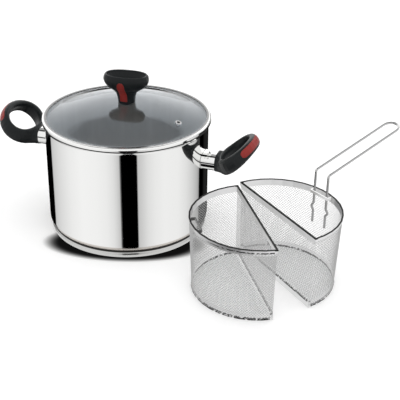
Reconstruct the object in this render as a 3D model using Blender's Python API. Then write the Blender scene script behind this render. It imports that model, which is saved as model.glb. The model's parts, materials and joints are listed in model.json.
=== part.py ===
"""Stockpot with a glass lid and two half-round straining baskets.

Metres, +Z up. The pot's axis is the world's Z axis and its base stands on z = 0.
"""
import math

import bmesh
import bpy
from mathutils import Matrix, Vector

# Shared clearance between pieces that touch, and the overrun of every cutter.
GAP = 0.0003
OVERRUN = 0.003

# Pot: a drawn steel shell on a capsule base.
POT_RADIUS = 0.1208
POT_WALL = 0.0008
POT_HEIGHT = 0.1710
POT_CORNER = 0.0130
FLARE_RADIUS = 0.0050
FLARE_RUN = 0.0025
FLARE_TURN = math.radians(50)
BASE_HEIGHT = 0.0085
BASE_INSET = 0.0028
BASE_RADIUS = POT_RADIUS - BASE_INSET
BASE_SKIN = 0.0008
BASE_EDGE = 0.0022
CORE_MARGIN = 0.0090
CORE_RADIUS = BASE_RADIUS - CORE_MARGIN
CORE_THICKNESS = 0.0048

# Lid: tempered glass in a folded steel rim, with a vent eyelet.
GLASS_THICKNESS = 0.0036
GLASS_RISE = 0.0210
GLASS_FLAT = 0.0090
GLASS_HOLE = 0.0040
GLASS_PAD = 0.0130
GLASS_CURVE = 1.25
RIM_OVERHANG = 0.0034
RIM_RADIUS = POT_RADIUS + RIM_OVERHANG
RIM_SHEET = 0.0006
RIM_LIP = 0.0072
RIM_FOLD = 0.0012
SKIRT_DEPTH = 0.0060
SKIRT_PLAY = 0.0010
VENT_INSET = 0.0355
VENT_PLACE = RIM_RADIUS - VENT_INSET
VENT_ANGLE = math.radians(-28.7)
VENT_RADIUS = 0.0032
VENT_FLANGE = 0.0050
VENT_SHEET = 0.0007

# Knob: an oval dished head on a stem, screwed through the glass.
KNOB_HEIGHT = 0.0420
KNOB_LENGTH = 0.0675
KNOB_WIDTH = 0.0385
KNOB_STEM = 0.0250
KNOB_LIP = 0.0035
KNOB_DISH = 0.0130
KNOB_TURN = math.radians(-10)
KNOB_BORE = 0.0023
KNOB_BORE_DEPTH = 0.0150
SCREW_RADIUS = 0.0020
SCREW_HEAD = 0.0048
SCREW_HEAD_HEIGHT = 0.0022
WASHER_RADIUS = 0.0105
WASHER_THICKNESS = 0.0012
KNOB_INLAY_WIDTH = 0.0108
KNOB_INLAY_DEPTH = 0.0012
KNOB_INLAY_LOW = 0.0035
KNOB_INLAY_TALL = 0.0300
KNOB_INLAY_SIDE = -0.0012
KNOB_INLAY_SWAY = -0.0026

# Side handles: a steel ferrule at the wall and a moulded ring grip.
HANDLE_AZIMUTH = math.radians(-15.9)
FERRULE_BELOW = 0.0480
FERRULE_HEIGHT = POT_HEIGHT - FERRULE_BELOW
FERRULE_WIDTH = 0.0340
FERRULE_TALL = 0.0260
FERRULE_SHEET = 0.0010
FERRULE_LENGTH = 0.0202
FERRULE_REACH = POT_RADIUS + FERRULE_LENGTH
LUG_LENGTH = 0.0090
TENON_LENGTH = 0.0080
RING_OUT = 0.0472
RING_PLACE = POT_RADIUS + RING_OUT
RING_ABOVE = 0.0250
RING_HEIGHT = FERRULE_HEIGHT + RING_ABOVE
RING_TILT = math.radians(39.1)
RING_HOLE_REACH = 0.0218
RING_HOLE_WIDTH = 0.0350
RING_WALL = 0.0108
RING_WALL_NEAR = 0.0085
RING_DEPTH_TIP = 0.0165
RING_DEPTH_NEAR = 0.0260
NECK_STEP = 0.0010
NECK_RAISE = 0.0065
NECK_LEAN = 0.0090
GRIP_INLAY_DEPTH = 0.0018
GRIP_INLAY_TALL = 0.0110
GRIP_INLAY_DROP = 0.0077
GRIP_INLAY_TURN = math.radians(54)

# Half baskets: a curved wall, a flat wall and a floor of steel mesh in folded bands.
BASKET_PLAY = 0.0284
BASKET_RADIUS = POT_RADIUS - BASKET_PLAY
BASKET_TAPER = 0.0043
BASKET_FOOT_RADIUS = BASKET_RADIUS - BASKET_TAPER
BASKET_BELOW = 0.0130
BASKET_HEIGHT = FERRULE_HEIGHT - BASKET_BELOW
BAND_HEIGHT = 0.0095
RIM_BAND_OUTSIDE = 0.0050
BASE_BAND_OUTSIDE = 0.0022
BAND_CORNER = 0.0040
BAND_SHEET = 0.00045
MESH_SHEET = 0.0008
MESH_CELL = 0.0330
MESH_COLUMNS = round(math.pi * BASKET_RADIUS / MESH_CELL)
MESH_STRAND = 0.0022
HOLE_SHARE = 0.30
LEFT_ACROSS = 0.0717
LEFT_FORWARD = 0.0567
LEFT_BASKET = (POT_RADIUS + LEFT_ACROSS, -POT_RADIUS - LEFT_FORWARD)
LEFT_TURN = math.radians(196.3)
LEFT_STAPLE_ANGLE = math.radians(0.7)
RIGHT_ACROSS = 0.0259
RIGHT_BACK = 0.0205
RIGHT_BASKET = (LEFT_BASKET[0] + RIGHT_ACROSS, LEFT_BASKET[1] + RIGHT_BACK)
RIGHT_TURN = math.radians(31.9)
RIGHT_STAPLE_ANGLE = math.radians(7.4)

# Staple: the bent strip inside the rim that the wire handle plugs into.
STAPLE_WIDTH = 0.0360
STAPLE_TALL = 0.0042
STAPLE_SHEET = 0.0014
STAPLE_DROP = 0.0016
STAPLE_SETBACK = 0.0104
STAPLE_REACH = BASKET_RADIUS - STAPLE_SETBACK

# Wire handle of the right basket.
WIRE_RADIUS = 0.0017
WIRE_SPREAD = 0.0250
WIRE_BEND_ABOVE = 0.0303
WIRE_BEND_HEIGHT = BASKET_HEIGHT + WIRE_BEND_ABOVE
WIRE_LEG_BELOW = 0.0524
WIRE_LEG_END = BASKET_HEIGHT - WIRE_LEG_BELOW
WIRE_ARM = 0.1370
WIRE_RISE = math.radians(15.1)
WIRE_BEND_RADIUS = 0.0040
WIRE_PLAY = 0.0006
KINK_BELOW = 0.0280
KINK_HEIGHT = BASKET_HEIGHT - KINK_BELOW
KINK_TALL = 0.0110
KINK_OUT = 0.0046

# How finely round forms are divided.
POT_STEPS = 48
SMALL_STEPS = 24
KNOB_STEPS = 24
ARC_STEPS = 2 * MESH_COLUMNS
FACET_SHARE = math.cos(math.pi / 2 / ARC_STEPS)
WIRE_SIDES = 8
RING_STEPS = 16


def clear_scene():
    for item in list(bpy.data.objects):
        bpy.data.objects.remove(item, do_unlink=True)


def material(name, colour, metallic, roughness, **extra):
    made = bpy.data.materials.new(name)
    made.use_nodes = True
    made.diffuse_color = (*colour, 1.0)
    shader = made.node_tree.nodes["Principled BSDF"]
    shader.inputs["Base Color"].default_value = (*colour, 1.0)
    shader.inputs["Metallic"].default_value = metallic
    shader.inputs["Roughness"].default_value = roughness
    for key, value in extra.items():
        shader.inputs[key.replace("_", " ")].default_value = value
    return made


def place(mesh, name, look, parent=None, smooth=True):
    """Turn a bmesh into a named object, with its faces pointing outward."""
    bmesh.ops.recalc_face_normals(mesh, faces=mesh.faces)
    data = bpy.data.meshes.new(name)
    mesh.to_mesh(data)
    mesh.free()
    made = bpy.data.objects.new(name, data)
    bpy.context.collection.objects.link(made)
    data.materials.append(look)
    if smooth:
        data.polygons.foreach_set("use_smooth", [True] * len(data.polygons))
        data.set_sharp_from_angle(angle=math.radians(35))
    made.parent = parent
    return made


def frame(name, location, turn=0.0, parent=None):
    """An empty that carries a group of pieces or a moving body."""
    made = bpy.data.objects.new(name, None)
    bpy.context.collection.objects.link(made)
    made.location = location
    made.rotation_euler = (0.0, 0.0, turn)
    made.parent = parent
    return made


def arc(centre, radius, start, end, steps):
    """Points on an arc in the plane of a profile."""
    points = []
    for step in range(steps + 1):
        angle = start + (end - start) * step / steps
        points.append((centre[0] + radius * math.cos(angle), centre[1] + radius * math.sin(angle)))
    return points


def revolve(profile, steps):
    """Turn a closed (radius, height) profile about Z."""
    mesh = bmesh.new()
    points = [mesh.verts.new((radius, 0.0, height)) for radius, height in profile]
    edges = [mesh.edges.new((a, b)) for a, b in zip(points, points[1:])]
    on_axis = profile[0][0] == 0.0 and profile[-1][0] == 0.0
    if not on_axis:
        edges.append(mesh.edges.new((points[-1], points[0])))
    bmesh.ops.spin(mesh, geom=points + edges, cent=(0, 0, 0), axis=(0, 0, 1),
                   angle=math.tau, steps=steps, use_merge=True)
    bmesh.ops.remove_doubles(mesh, verts=mesh.verts, dist=GAP / 30)
    return mesh


def loft(rings, closed=False):
    """Join rings of points, each with the same count, into one closed body."""
    mesh = bmesh.new()
    loops = [[mesh.verts.new(point) for point in ring] for ring in rings]
    pairs = list(zip(loops, loops[1:]))
    if closed:
        pairs.append((loops[-1], loops[0]))
    for low, high in pairs:
        for index in range(len(low)):
            after = (index + 1) % len(low)
            mesh.faces.new((low[index], low[after], high[after], high[index]))
    if not closed:
        mesh.faces.new(loops[0])
        mesh.faces.new(loops[-1])
    return mesh


def cutter(mesh, name):
    """A hidden tool body for a boolean."""
    bmesh.ops.recalc_face_normals(mesh, faces=mesh.faces)
    data = bpy.data.meshes.new(name)
    mesh.to_mesh(data)
    mesh.free()
    made = bpy.data.objects.new(name, data)
    bpy.context.collection.objects.link(made)
    made.hide_render = True
    made.display_type = "WIRE"
    return made


def combine(target, tool, operation="DIFFERENCE"):
    """Cut, or keep the common part, by an exact boolean that stays live."""
    step = target.modifiers.new(operation.title(), "BOOLEAN")
    step.operation = operation
    step.solver = "EXACT"
    step.object = tool


def superellipse(half_length, half_width, power, count):
    """An oval that is squarer than an ellipse when its power is over 2."""
    points = []
    for index in range(count):
        angle = math.tau * index / count
        x, y = math.cos(angle), math.sin(angle)
        points.append((half_length * math.copysign(abs(x) ** (2 / power), x),
                       half_width * math.copysign(abs(y) ** (2 / power), y)))
    return points


def cylinder(radius, low, high, steps):
    return revolve([(0.0, low), (radius, low), (radius, high), (0.0, high)], steps)


# Pot.

def shell_path(depth):
    """The shell's outer surface, moved inward by a depth, from the axis to the lip."""
    low = BASE_HEIGHT - POT_WALL + depth
    corner = POT_CORNER - depth
    wall = POT_RADIUS - depth
    path = [(0.0, low)]
    path += arc((wall - corner, low + corner), corner, -math.pi / 2, 0.0, 5)
    rise = (FLARE_RADIUS * math.sin(FLARE_TURN) + FLARE_RUN * math.cos(FLARE_TURN)
            + POT_WALL * math.sin(FLARE_TURN))
    start = POT_HEIGHT - rise
    centre = (POT_RADIUS + FLARE_RADIUS, start)
    path += arc(centre, FLARE_RADIUS + depth, math.pi, math.pi - FLARE_TURN, 4)
    last = path[-1]
    path.append((last[0] + FLARE_RUN * math.sin(FLARE_TURN), last[1] + FLARE_RUN * math.cos(FLARE_TURN)))
    return path


def build_pot(looks):
    shell = shell_path(0.0) + shell_path(POT_WALL)[::-1]
    pot = place(revolve(shell, POT_STEPS), "pot_shell", looks["polished"])
    floor = BASE_HEIGHT - POT_WALL - GAP
    core_top = floor
    core = [(0.0, core_top - CORE_THICKNESS), (CORE_RADIUS, core_top - CORE_THICKNESS),
            (CORE_RADIUS, core_top), (0.0, core_top)]
    place(revolve(core, POT_STEPS), "base_core", looks["aluminium"], pot)
    inner = core_top - CORE_THICKNESS - GAP
    inner_wall = BASE_RADIUS - BASE_SKIN
    flat = POT_RADIUS - POT_CORNER
    rise = POT_CORNER - math.sqrt(POT_CORNER ** 2 - (inner_wall - flat) ** 2)
    outside = POT_CORNER - math.sqrt(POT_CORNER ** 2 - (BASE_RADIUS - flat) ** 2)
    cap = [(0.0, 0.0), (BASE_RADIUS - BASE_EDGE, 0.0), (BASE_RADIUS - BASE_EDGE / 3, BASE_EDGE / 3),
           (BASE_RADIUS, BASE_EDGE), (BASE_RADIUS, floor + outside - GAP), (inner_wall, floor + rise - GAP),
           (inner_wall, BASE_EDGE), (inner_wall - BASE_EDGE, inner), (0.0, inner)]
    place(revolve(cap, POT_STEPS), "base_cap", looks["brushed"], pot)
    return pot


# Lid.

def glass_top(radius):
    """Height of the glass above its flat edge, at a radius."""
    dome = RIM_RADIUS - RIM_SHEET - GAP - GLASS_FLAT
    share = min(max(radius - GLASS_PAD, 0.0) / (dome - GLASS_PAD), 1.0)
    return GLASS_RISE * (1.0 - share ** 2) ** GLASS_CURVE


def lid_levels():
    """Heights of the lid's stack, from the pot's lip up."""
    under = POT_HEIGHT + GAP
    glass_low = under + RIM_SHEET + GAP
    glass_high = glass_low + GLASS_THICKNESS
    top = glass_high + GAP + RIM_SHEET
    return under, glass_low, glass_high, top


def build_rim(looks, lid):
    under, low, high, top = lid_levels()
    outer = POT_RADIUS - POT_WALL - SKIRT_PLAY
    inner = outer - RIM_SHEET
    lip = RIM_RADIUS - RIM_LIP
    web = RIM_RADIUS - RIM_SHEET
    profile = [(outer, under - SKIRT_DEPTH), (outer, under), (RIM_RADIUS, under),
               *arc((RIM_RADIUS - RIM_FOLD, top - RIM_FOLD), RIM_FOLD, 0.0, math.pi / 2, 3),
               (lip, top), (lip, high + GAP), (web, high + GAP), (web, low - GAP), (inner, low - GAP),
               (inner, under - SKIRT_DEPTH)]
    place(revolve(profile, POT_STEPS), "lid_rim", looks["brushed"], lid)


def vent_frame():
    """Centre and axis of the vent, square to the glass."""
    high = lid_levels()[2]
    step = GAP
    slope = (glass_top(VENT_PLACE + step) - glass_top(VENT_PLACE - step)) / (2 * step)
    tilt = math.atan(-slope)
    place_z = high + glass_top(VENT_PLACE) - GLASS_THICKNESS / 2
    turn = Matrix.Rotation(VENT_ANGLE, 4, "Z")
    move = Matrix.Translation((VENT_PLACE, 0.0, place_z))
    return turn @ move @ Matrix.Rotation(tilt, 4, "Y")


def build_glass(looks, lid):
    low, high = lid_levels()[1:3]
    edge = RIM_RADIUS - RIM_SHEET - GAP
    dome = edge - GLASS_FLAT
    radii = [GLASS_PAD + (dome - GLASS_PAD) * share for share in (0, .25, .47, .66, .82, .93, 1)]
    radii = [GLASS_HOLE] + radii + [edge]
    upper = [(radius, high + glass_top(radius)) for radius in radii]
    lower = [(radius, low + glass_top(radius)) for radius in reversed(radii)]
    glass = place(revolve(upper + lower, POT_STEPS), "lid_glass", looks["glass"], lid)
    reach = GLASS_THICKNESS
    drill = cutter(cylinder(VENT_RADIUS + GAP, -reach, reach, SMALL_STEPS), "vent_drill")
    drill.matrix_world = vent_frame()
    combine(glass, drill)


def build_vent(looks, lid):
    half = GLASS_THICKNESS / 2 / math.cos(math.radians(4)) + GAP
    bore = VENT_RADIUS - VENT_SHEET
    profile = [(bore, -half - VENT_SHEET), (VENT_FLANGE, -half - VENT_SHEET), (VENT_FLANGE, -half),
               (VENT_RADIUS, -half), (VENT_RADIUS, half), (VENT_FLANGE, half),
               (VENT_FLANGE - VENT_SHEET / 2, half + VENT_SHEET), (bore, half + VENT_SHEET)]
    mesh = revolve(profile, SMALL_STEPS)
    mesh.transform(vent_frame())
    place(mesh, "vent_eyelet", looks["polished"], lid)


# Each row: height share, then how far the section has grown from stem to head.
KNOB_SHARES = ((0.0, -0.01), (0.08, 0.0), (0.21, 0.04), (0.32, 0.11), (0.40, 0.21), (0.48, 0.45),
               (0.56, 0.71), (0.65, 0.88), (0.74, 0.97), (0.83, 1.0), (0.92, 0.97), (0.97, 0.92))


def knob_half(share):
    """Half length and half width of the knob's section for a growth share."""
    length = KNOB_STEM + (KNOB_LENGTH - KNOB_STEM) * share
    width = KNOB_STEM + (KNOB_WIDTH - KNOB_STEM) * share
    return length / 2, width / 2


def knob_sections(depth):
    """Sections of the knob's outside, drawn in by a depth."""
    rows = []
    for height_share, growth_share in KNOB_SHARES:
        length, width = knob_half(growth_share)
        rows.append((height_share * KNOB_HEIGHT, length - depth, width - depth))
    return rows


def knob_ring(height, length, width):
    return [Vector((x, y, height)) for x, y in superellipse(length, width, 2.3, KNOB_STEPS)]


def knob_body():
    rings = [knob_ring(*row) for row in knob_sections(0.0)]
    length, width = knob_half(KNOB_SHARES[-1][1])
    dish = [(1.0, 0.35), (0.99, 0.75), (0.93, 1.0)]
    for height_share, lip_share in dish:
        rings.append(knob_ring(KNOB_HEIGHT * height_share, length - KNOB_LIP * lip_share,
                               width - KNOB_LIP * lip_share))
    for drop_share, in_share in ((0.45, 0.90), (0.80, 0.74), (0.97, 0.45), (1.0, 0.12)):
        rings.append(knob_ring(KNOB_HEIGHT - KNOB_DISH * drop_share, (length - KNOB_LIP) * in_share,
                               (width - KNOB_LIP) * in_share))
    return loft(rings)


def knob_surface(height):
    """Half length and half width of the knob at a height."""
    rows = knob_sections(0.0)
    for low, high in zip(rows, rows[1:]):
        if low[0] <= height <= high[0]:
            share = (height - low[0]) / (high[0] - low[0])
            return low[1] + (high[1] - low[1]) * share, low[2] + (high[2] - low[2]) * share
    return rows[-1][1:]


# The stripe swings to one side over this share of its height.
INLAY_SWING_SHARE = 0.5


def inlay_tool(grow):
    """The wavy stripe on the knob's front, as a bar that follows its surface."""
    rings = []
    steps = 10
    for index in range(steps + 1):
        share = index / steps
        height = KNOB_INLAY_LOW + KNOB_INLAY_TALL * share
        if index == 0:
            height -= grow
        if index == steps:
            height += grow
        swing = min(max(share / INLAY_SWING_SHARE - 0.5, 0.0), 1.0)
        middle = KNOB_INLAY_SIDE + KNOB_INLAY_SWAY * (1.0 - math.cos(math.pi * swing)) / 2
        taper = math.sqrt(max(0.0, 1.0 - max(0.0, (share - 0.8) / 0.2) ** 2 * 0.8))
        half = KNOB_INLAY_WIDTH / 2 * taper + grow
        length, width = knob_surface(height)
        ring = []
        for across in (-half, -half / 3, half / 3, half):
            x = middle + across
            y = width * (1.0 - abs(x / length) ** 2.3) ** (1 / 2.3)
            ring.append(Vector((x, -y + KNOB_INLAY_DEPTH + grow, height)))
        ring.append(Vector((middle + half, -width - OVERRUN, height)))
        ring.append(Vector((middle - half, -width - OVERRUN, height)))
        rings.append(ring)
    return loft(rings)


def build_knob(looks, lid):
    high = lid_levels()[2] + GLASS_RISE + GAP
    knob = place(knob_body(), "lid_knob", looks["black"], lid)
    bore = cutter(cylinder(KNOB_BORE, -OVERRUN, KNOB_BORE_DEPTH, SMALL_STEPS), "knob_bore")
    pocket = cutter(inlay_tool(GAP), "knob_pocket")
    combine(knob, bore)
    combine(knob, pocket)
    inlay = place(knob_body(), "knob_inlay", looks["red"], lid)
    stripe = cutter(inlay_tool(0.0), "knob_stripe")
    combine(inlay, stripe, "INTERSECT")
    for item in (knob, inlay, bore, pocket, stripe):
        item.location = (0.0, 0.0, high)
        item.rotation_euler = (0.0, 0.0, KNOB_TURN)
    under = high - GAP - GLASS_THICKNESS - GAP
    washer = [(SCREW_RADIUS + GAP, under - WASHER_THICKNESS), (WASHER_RADIUS, under - WASHER_THICKNESS),
              (WASHER_RADIUS, under), (SCREW_RADIUS + GAP, under)]
    place(revolve(washer, SMALL_STEPS), "knob_washer", looks["brushed"], lid)
    head = under - WASHER_THICKNESS - GAP
    top = high + KNOB_BORE_DEPTH - GAP
    screw = [(0.0, head - SCREW_HEAD_HEIGHT), (SCREW_HEAD * 0.7, head - SCREW_HEAD_HEIGHT),
             (SCREW_HEAD, head - SCREW_HEAD_HEIGHT / 2), (SCREW_HEAD, head), (SCREW_RADIUS, head),
             (SCREW_RADIUS, top), (0.0, top)]
    place(revolve(screw, SMALL_STEPS), "knob_screw", looks["brushed"], lid)


# Side handles, built along +X and then turned to their azimuth.

def oval(half_width, half_tall, reach, count=SMALL_STEPS):
    """An upright oval section across the handle; reach gives X at each side offset."""
    points = []
    for y, z in superellipse(half_width, half_tall, 2.6, count):
        points.append(Vector((reach(y), y, FERRULE_HEIGHT + z)))
    return points


def wall_reach(play):
    """X of the pot's wall, plus a play, at a side offset."""
    return lambda y: math.sqrt((POT_RADIUS + play) ** 2 - y ** 2)


def flat_reach(reach):
    """The same X at every side offset."""
    return lambda y: reach


def build_ferrule(looks, pot, side, turn):
    width, tall = FERRULE_WIDTH / 2, FERRULE_TALL / 2
    hollow_width, hollow_tall = width - FERRULE_SHEET, tall - FERRULE_SHEET
    wall, end = wall_reach(GAP), flat_reach(FERRULE_REACH)
    rings = [oval(width, tall, wall), oval(width, tall, end),
             oval(hollow_width, hollow_tall, end), oval(hollow_width, hollow_tall, wall)]
    mesh = loft(rings, closed=True)
    mesh.transform(turn)
    place(mesh, f"handle_ferrule_{side}", looks["polished"], pot)
    lug = (hollow_width - GAP, hollow_tall - GAP)
    mesh = loft([oval(*lug, flat_reach(POT_RADIUS + GAP)), oval(*lug, flat_reach(POT_RADIUS + LUG_LENGTH))])
    mesh.transform(turn)
    place(mesh, f"handle_lug_{side}", looks["brushed"], pot)


def ring_frame():
    """The plane of the grip's ring: centre, outward, sideways and downward directions."""
    centre = Vector((RING_PLACE, 0.0, RING_HEIGHT))
    outward = Vector((math.cos(RING_TILT), 0.0, math.sin(RING_TILT)))
    down = Vector((math.sin(RING_TILT), 0.0, -math.cos(RING_TILT)))
    return centre, outward, Vector((0.0, 1.0, 0.0)), down


# How fast the ring's rise to the neck fades round it, and how much of the rise its inner edge has.
NECK_FADE = 8
INNER_RISE_SHARE = 0.4


def ring_point(angle, grown, drop):
    """A point of the grip: an angle round the ring, a wall offset and a drop below its plane.

    Near the pot the ring rises to meet the neck, and its lower side leans back under it.
    """
    centre, outward, sideways, down = ring_frame()
    near = (1.0 - math.cos(angle)) / 2
    low = drop / RING_DEPTH_NEAR
    rise_share = INNER_RISE_SHARE + (1.0 - INNER_RISE_SHARE) * grown / RING_WALL_NEAR
    rise = NECK_RAISE * near ** NECK_FADE * (1.0 - low) * rise_share
    return (centre + outward * ((RING_HOLE_REACH + grown) * math.cos(angle))
            + sideways * ((RING_HOLE_WIDTH + grown) * math.sin(angle)) + down * drop
            + Vector((-NECK_LEAN * near ** 2 * low, 0.0, rise)))


def ring_sizes(angle):
    """Wall thickness and depth of the ring at an angle; 0 is its tip."""
    near = (1.0 - math.cos(angle)) / 2
    wall = RING_WALL + (RING_WALL_NEAR - RING_WALL) * near
    depth = RING_DEPTH_TIP + (RING_DEPTH_NEAR - RING_DEPTH_TIP) * near
    return wall, depth


# Control points of the ring's section: share of the wall, share of the depth.
SECTION_SHARES = ((0.12, -0.04), (-0.12, 0.5), (0.0, 1.02), (0.50, 1.08), (1.02, 0.94), (1.16, 0.5),
                  (1.02, 0.06), (0.55, -0.08))
NECK_FLARE = 1.22


def grip_cage():
    """The control cage of the grip: a ring with a neck drawn out to the ferrule."""
    mesh = bmesh.new()
    loops = []
    for index in range(RING_STEPS):
        angle = math.tau * index / RING_STEPS
        wall, depth = ring_sizes(angle)
        loops.append([mesh.verts.new(ring_point(angle, wall * across, depth * down))
                      for across, down in SECTION_SHARES])
    count = len(SECTION_SHARES)
    middle = RING_STEPS // 2
    for index in range(RING_STEPS):
        after = (index + 1) % RING_STEPS
        for spot in range(count):
            following = (spot + 1) % count
            neck = index in (middle - 1, middle) and spot in (4, 5)
            if not neck:
                mesh.faces.new((loops[index][spot], loops[after][spot],
                                loops[after][following], loops[index][following]))
    around = [loops[middle - 1][6], loops[middle][6], loops[middle + 1][6], loops[middle + 1][5],
              loops[middle + 1][4], loops[middle][4], loops[middle - 1][4], loops[middle - 1][5]]
    for vert in around:
        vert.co.y *= NECK_FLARE
    mesh.verts.remove(loops[middle][5])
    return mesh, around


# Control points of the neck's oval, as shares of its half width and half height.
NECK_SHARES = ((0.85, 0.85), (0.0, 1.0), (-0.85, 0.85), (-1.0, 0.0), (-0.85, -0.85), (0.0, -1.0),
               (0.85, -0.85), (1.0, 0.0))
NECK_FULLNESS = 0.95


def neck_loop(mesh, half_width, half_tall, reach):
    points = []
    for across, up in NECK_SHARES:
        y = across * half_width / NECK_FULLNESS
        z = up * half_tall / NECK_FULLNESS
        points.append(mesh.verts.new((reach, y, FERRULE_HEIGHT + z)))
    return points


def join_loops(mesh, first, second):
    for index in range(len(first)):
        after = (index + 1) % len(first)
        mesh.faces.new((first[index], first[after], second[after], second[index]))


def grip_body():
    mesh, around = grip_cage()
    width, tall = FERRULE_WIDTH / 2, FERRULE_TALL / 2
    shoulder = FERRULE_REACH + GAP
    blend = (FERRULE_REACH - POT_RADIUS) / 8
    tenon_width = width - FERRULE_SHEET - GAP
    tenon_tall = tall - FERRULE_SHEET - GAP
    loops = [around,
             neck_loop(mesh, width + NECK_STEP, tall + NECK_STEP, shoulder + blend),
             neck_loop(mesh, width + NECK_STEP, tall + NECK_STEP, shoulder),
             neck_loop(mesh, tenon_width, tenon_tall, shoulder),
             neck_loop(mesh, tenon_width, tenon_tall, FERRULE_REACH - TENON_LENGTH)]
    for first, second in zip(loops, loops[1:]):
        join_loops(mesh, first, second)
    mesh.faces.new(loops[-1])
    crease = mesh.edges.layers.float.new("crease_edge")
    for loop in loops[2:]:
        for index in range(len(loop)):
            edge = mesh.edges.get((loop[index], loop[(index + 1) % len(loop)]))
            edge[crease] = 1.0
    return mesh


# The inlay's ends are rounded over this share of its length, down to this share of its height.
END_SHARE = 0.07
TIP_SHARE = 0.35


def grip_band(grow):
    """The curved bar that the red inlay of a grip is cut from, its rings closer at its ends."""
    rings = []
    steps = 12
    for index in range(steps + 1):
        share = (1.0 - math.cos(math.pi * index / steps)) / 2
        angle = GRIP_INLAY_TURN * (2 * share - 1)
        wall, depth = ring_sizes(angle)
        end = max(0.0, 1.0 - min(share, 1.0 - share) / END_SHARE)
        half = GRIP_INLAY_TALL / 2 * max(TIP_SHARE, math.sqrt(1.0 - end ** 2)) + grow
        middle = GRIP_INLAY_DROP
        inner = wall - GRIP_INLAY_DEPTH - grow
        outer = wall + OVERRUN
        slide = grow * (2 * share - 1) / RING_HOLE_WIDTH
        corners = ((inner, -half), (outer, -half), (outer, half), (inner, half))
        rings.append([ring_point(angle + slide, grown, middle + offset) for grown, offset in corners])
    return loft(rings)


def grip_object(name, look, parent, turn):
    mesh = grip_body()
    mesh.transform(turn)
    made = place(mesh, name, look, parent)
    smooth = made.modifiers.new("Smooth", "SUBSURF")
    smooth.levels = 1
    smooth.render_levels = 1
    return made


def build_grip(looks, pot, side, turn):
    grip = grip_object(f"handle_grip_{side}", looks["black"], pot, turn)
    mesh = grip_band(GAP)
    mesh.transform(turn)
    combine(grip, cutter(mesh, f"grip_pocket_{side}"))
    inlay = grip_object(f"handle_inlay_{side}", looks["red"], pot, turn)
    mesh = grip_band(0.0)
    mesh.transform(turn)
    combine(inlay, cutter(mesh, f"grip_stripe_{side}"), "INTERSECT")


# Half baskets. Local frame: the flat wall lies on x = 0 and the round wall bulges to +X.

def basket_radius(height):
    return BASKET_FOOT_RADIUS + (BASKET_RADIUS - BASKET_FOOT_RADIUS) * height / BASKET_HEIGHT


def half_round(height, inset, edge=None):
    """Outline of the half round at a height, moved inward; its ends lie on x = edge."""
    radius = basket_radius(height) - inset
    edge = inset if edge is None else edge
    angles = [math.pi * (step / ARC_STEPS - 0.5) for step in range(ARC_STEPS + 1)]
    angles[-1] = math.acos(edge / radius)
    angles[0] = -angles[-1]
    return [Vector((radius * math.cos(angle), radius * math.sin(angle), height)) for angle in angles]


def along(outline, share):
    """A point on an outline's facets, from its first point at 0 to its last at 1."""
    place_on = share * (len(outline) - 1)
    index = min(max(int(place_on), 0), len(outline) - 2)
    return outline[index].lerp(outline[index + 1], place_on - index)


MESH_INSET = BAND_SHEET + GAP
BAND_DEPTH = 2 * MESH_INSET + MESH_SHEET


def band_row(inset, round_height, flat_height):
    """Outline with one height on the round side and another on the flat one."""
    points = half_round(round_height, inset)
    corner = points[-1]
    side = basket_radius(flat_height) - basket_radius(round_height) + corner.y - BAND_CORNER
    return points + [Vector((inset, side, flat_height)), Vector((inset, -side, flat_height))]


def band(edge, sign, outside):
    """A folded strip round the half round, its fold at an edge height and its outer leg short on the arc."""
    leg = edge - sign * BAND_HEIGHT
    short = edge - sign * outside
    fold = edge - sign * BAND_SHEET
    inner = BAND_DEPTH - BAND_SHEET
    rows = [(0.0, edge, edge), (0.0, short, leg), (BAND_SHEET, short, leg), (BAND_SHEET, fold, fold),
            (inner, fold, fold), (inner, leg, leg), (BAND_DEPTH, leg, leg), (BAND_DEPTH, edge, edge)]
    return loft([band_row(*row) for row in rows], closed=True)


def diamond_sheet(length, height, columns):
    """A flat sheet of diagonal strands with a border, one face thick, in the XZ plane."""
    mesh = bmesh.new()
    rows = max(2, round(height / MESH_CELL))
    bmesh.ops.create_grid(mesh, x_segments=columns, y_segments=rows, size=0.5)
    for vert in mesh.verts:
        vert.co = Vector((vert.co.x * length, 0.0, (vert.co.y + 0.5) * height))
    inner = [edge for edge in mesh.edges if not edge.is_boundary]
    bmesh.ops.poke(mesh, faces=mesh.faces)
    bmesh.ops.dissolve_edges(mesh, edges=inner, use_verts=False)
    level = [edge for edge in mesh.edges if edge.is_boundary and edge.verts[0].co.z == edge.verts[1].co.z]
    bmesh.ops.subdivide_edges(mesh, edges=level, cuts=1)
    cut = bmesh.ops.inset_individual(mesh, faces=mesh.faces, thickness=MESH_STRAND / 2, use_even_offset=True)
    frame_faces = set(cut["faces"])
    bmesh.ops.delete(mesh, geom=[face for face in mesh.faces if face not in frame_faces], context="FACES")
    return mesh


def thicken(mesh):
    """Give a sheet its thickness towards +Y."""
    for face in mesh.faces:
        if face.normal.y < 0.0:
            face.normal_flip()
    made = bmesh.ops.extrude_face_region(mesh, geom=mesh.faces[:], use_keep_orig=True)
    for item in made["geom"]:
        if isinstance(item, bmesh.types.BMVert):
            item.co.y += MESH_SHEET
    return mesh


def mesh_heights():
    low = BAND_SHEET + GAP
    return low, BASKET_HEIGHT - low


def curved_wall():
    low, high = mesh_heights()
    corner = MESH_INSET + MESH_SHEET + GAP
    length = math.pi * (basket_radius(BASKET_HEIGHT / 2) - MESH_INSET)
    mesh = thicken(diamond_sheet(length, high - low, MESH_COLUMNS))
    for vert in mesh.verts:
        outline = half_round(low + vert.co.z, MESH_INSET + vert.co.y, corner)
        vert.co = along(outline, vert.co.x / length + 0.5)
    return mesh


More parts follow.
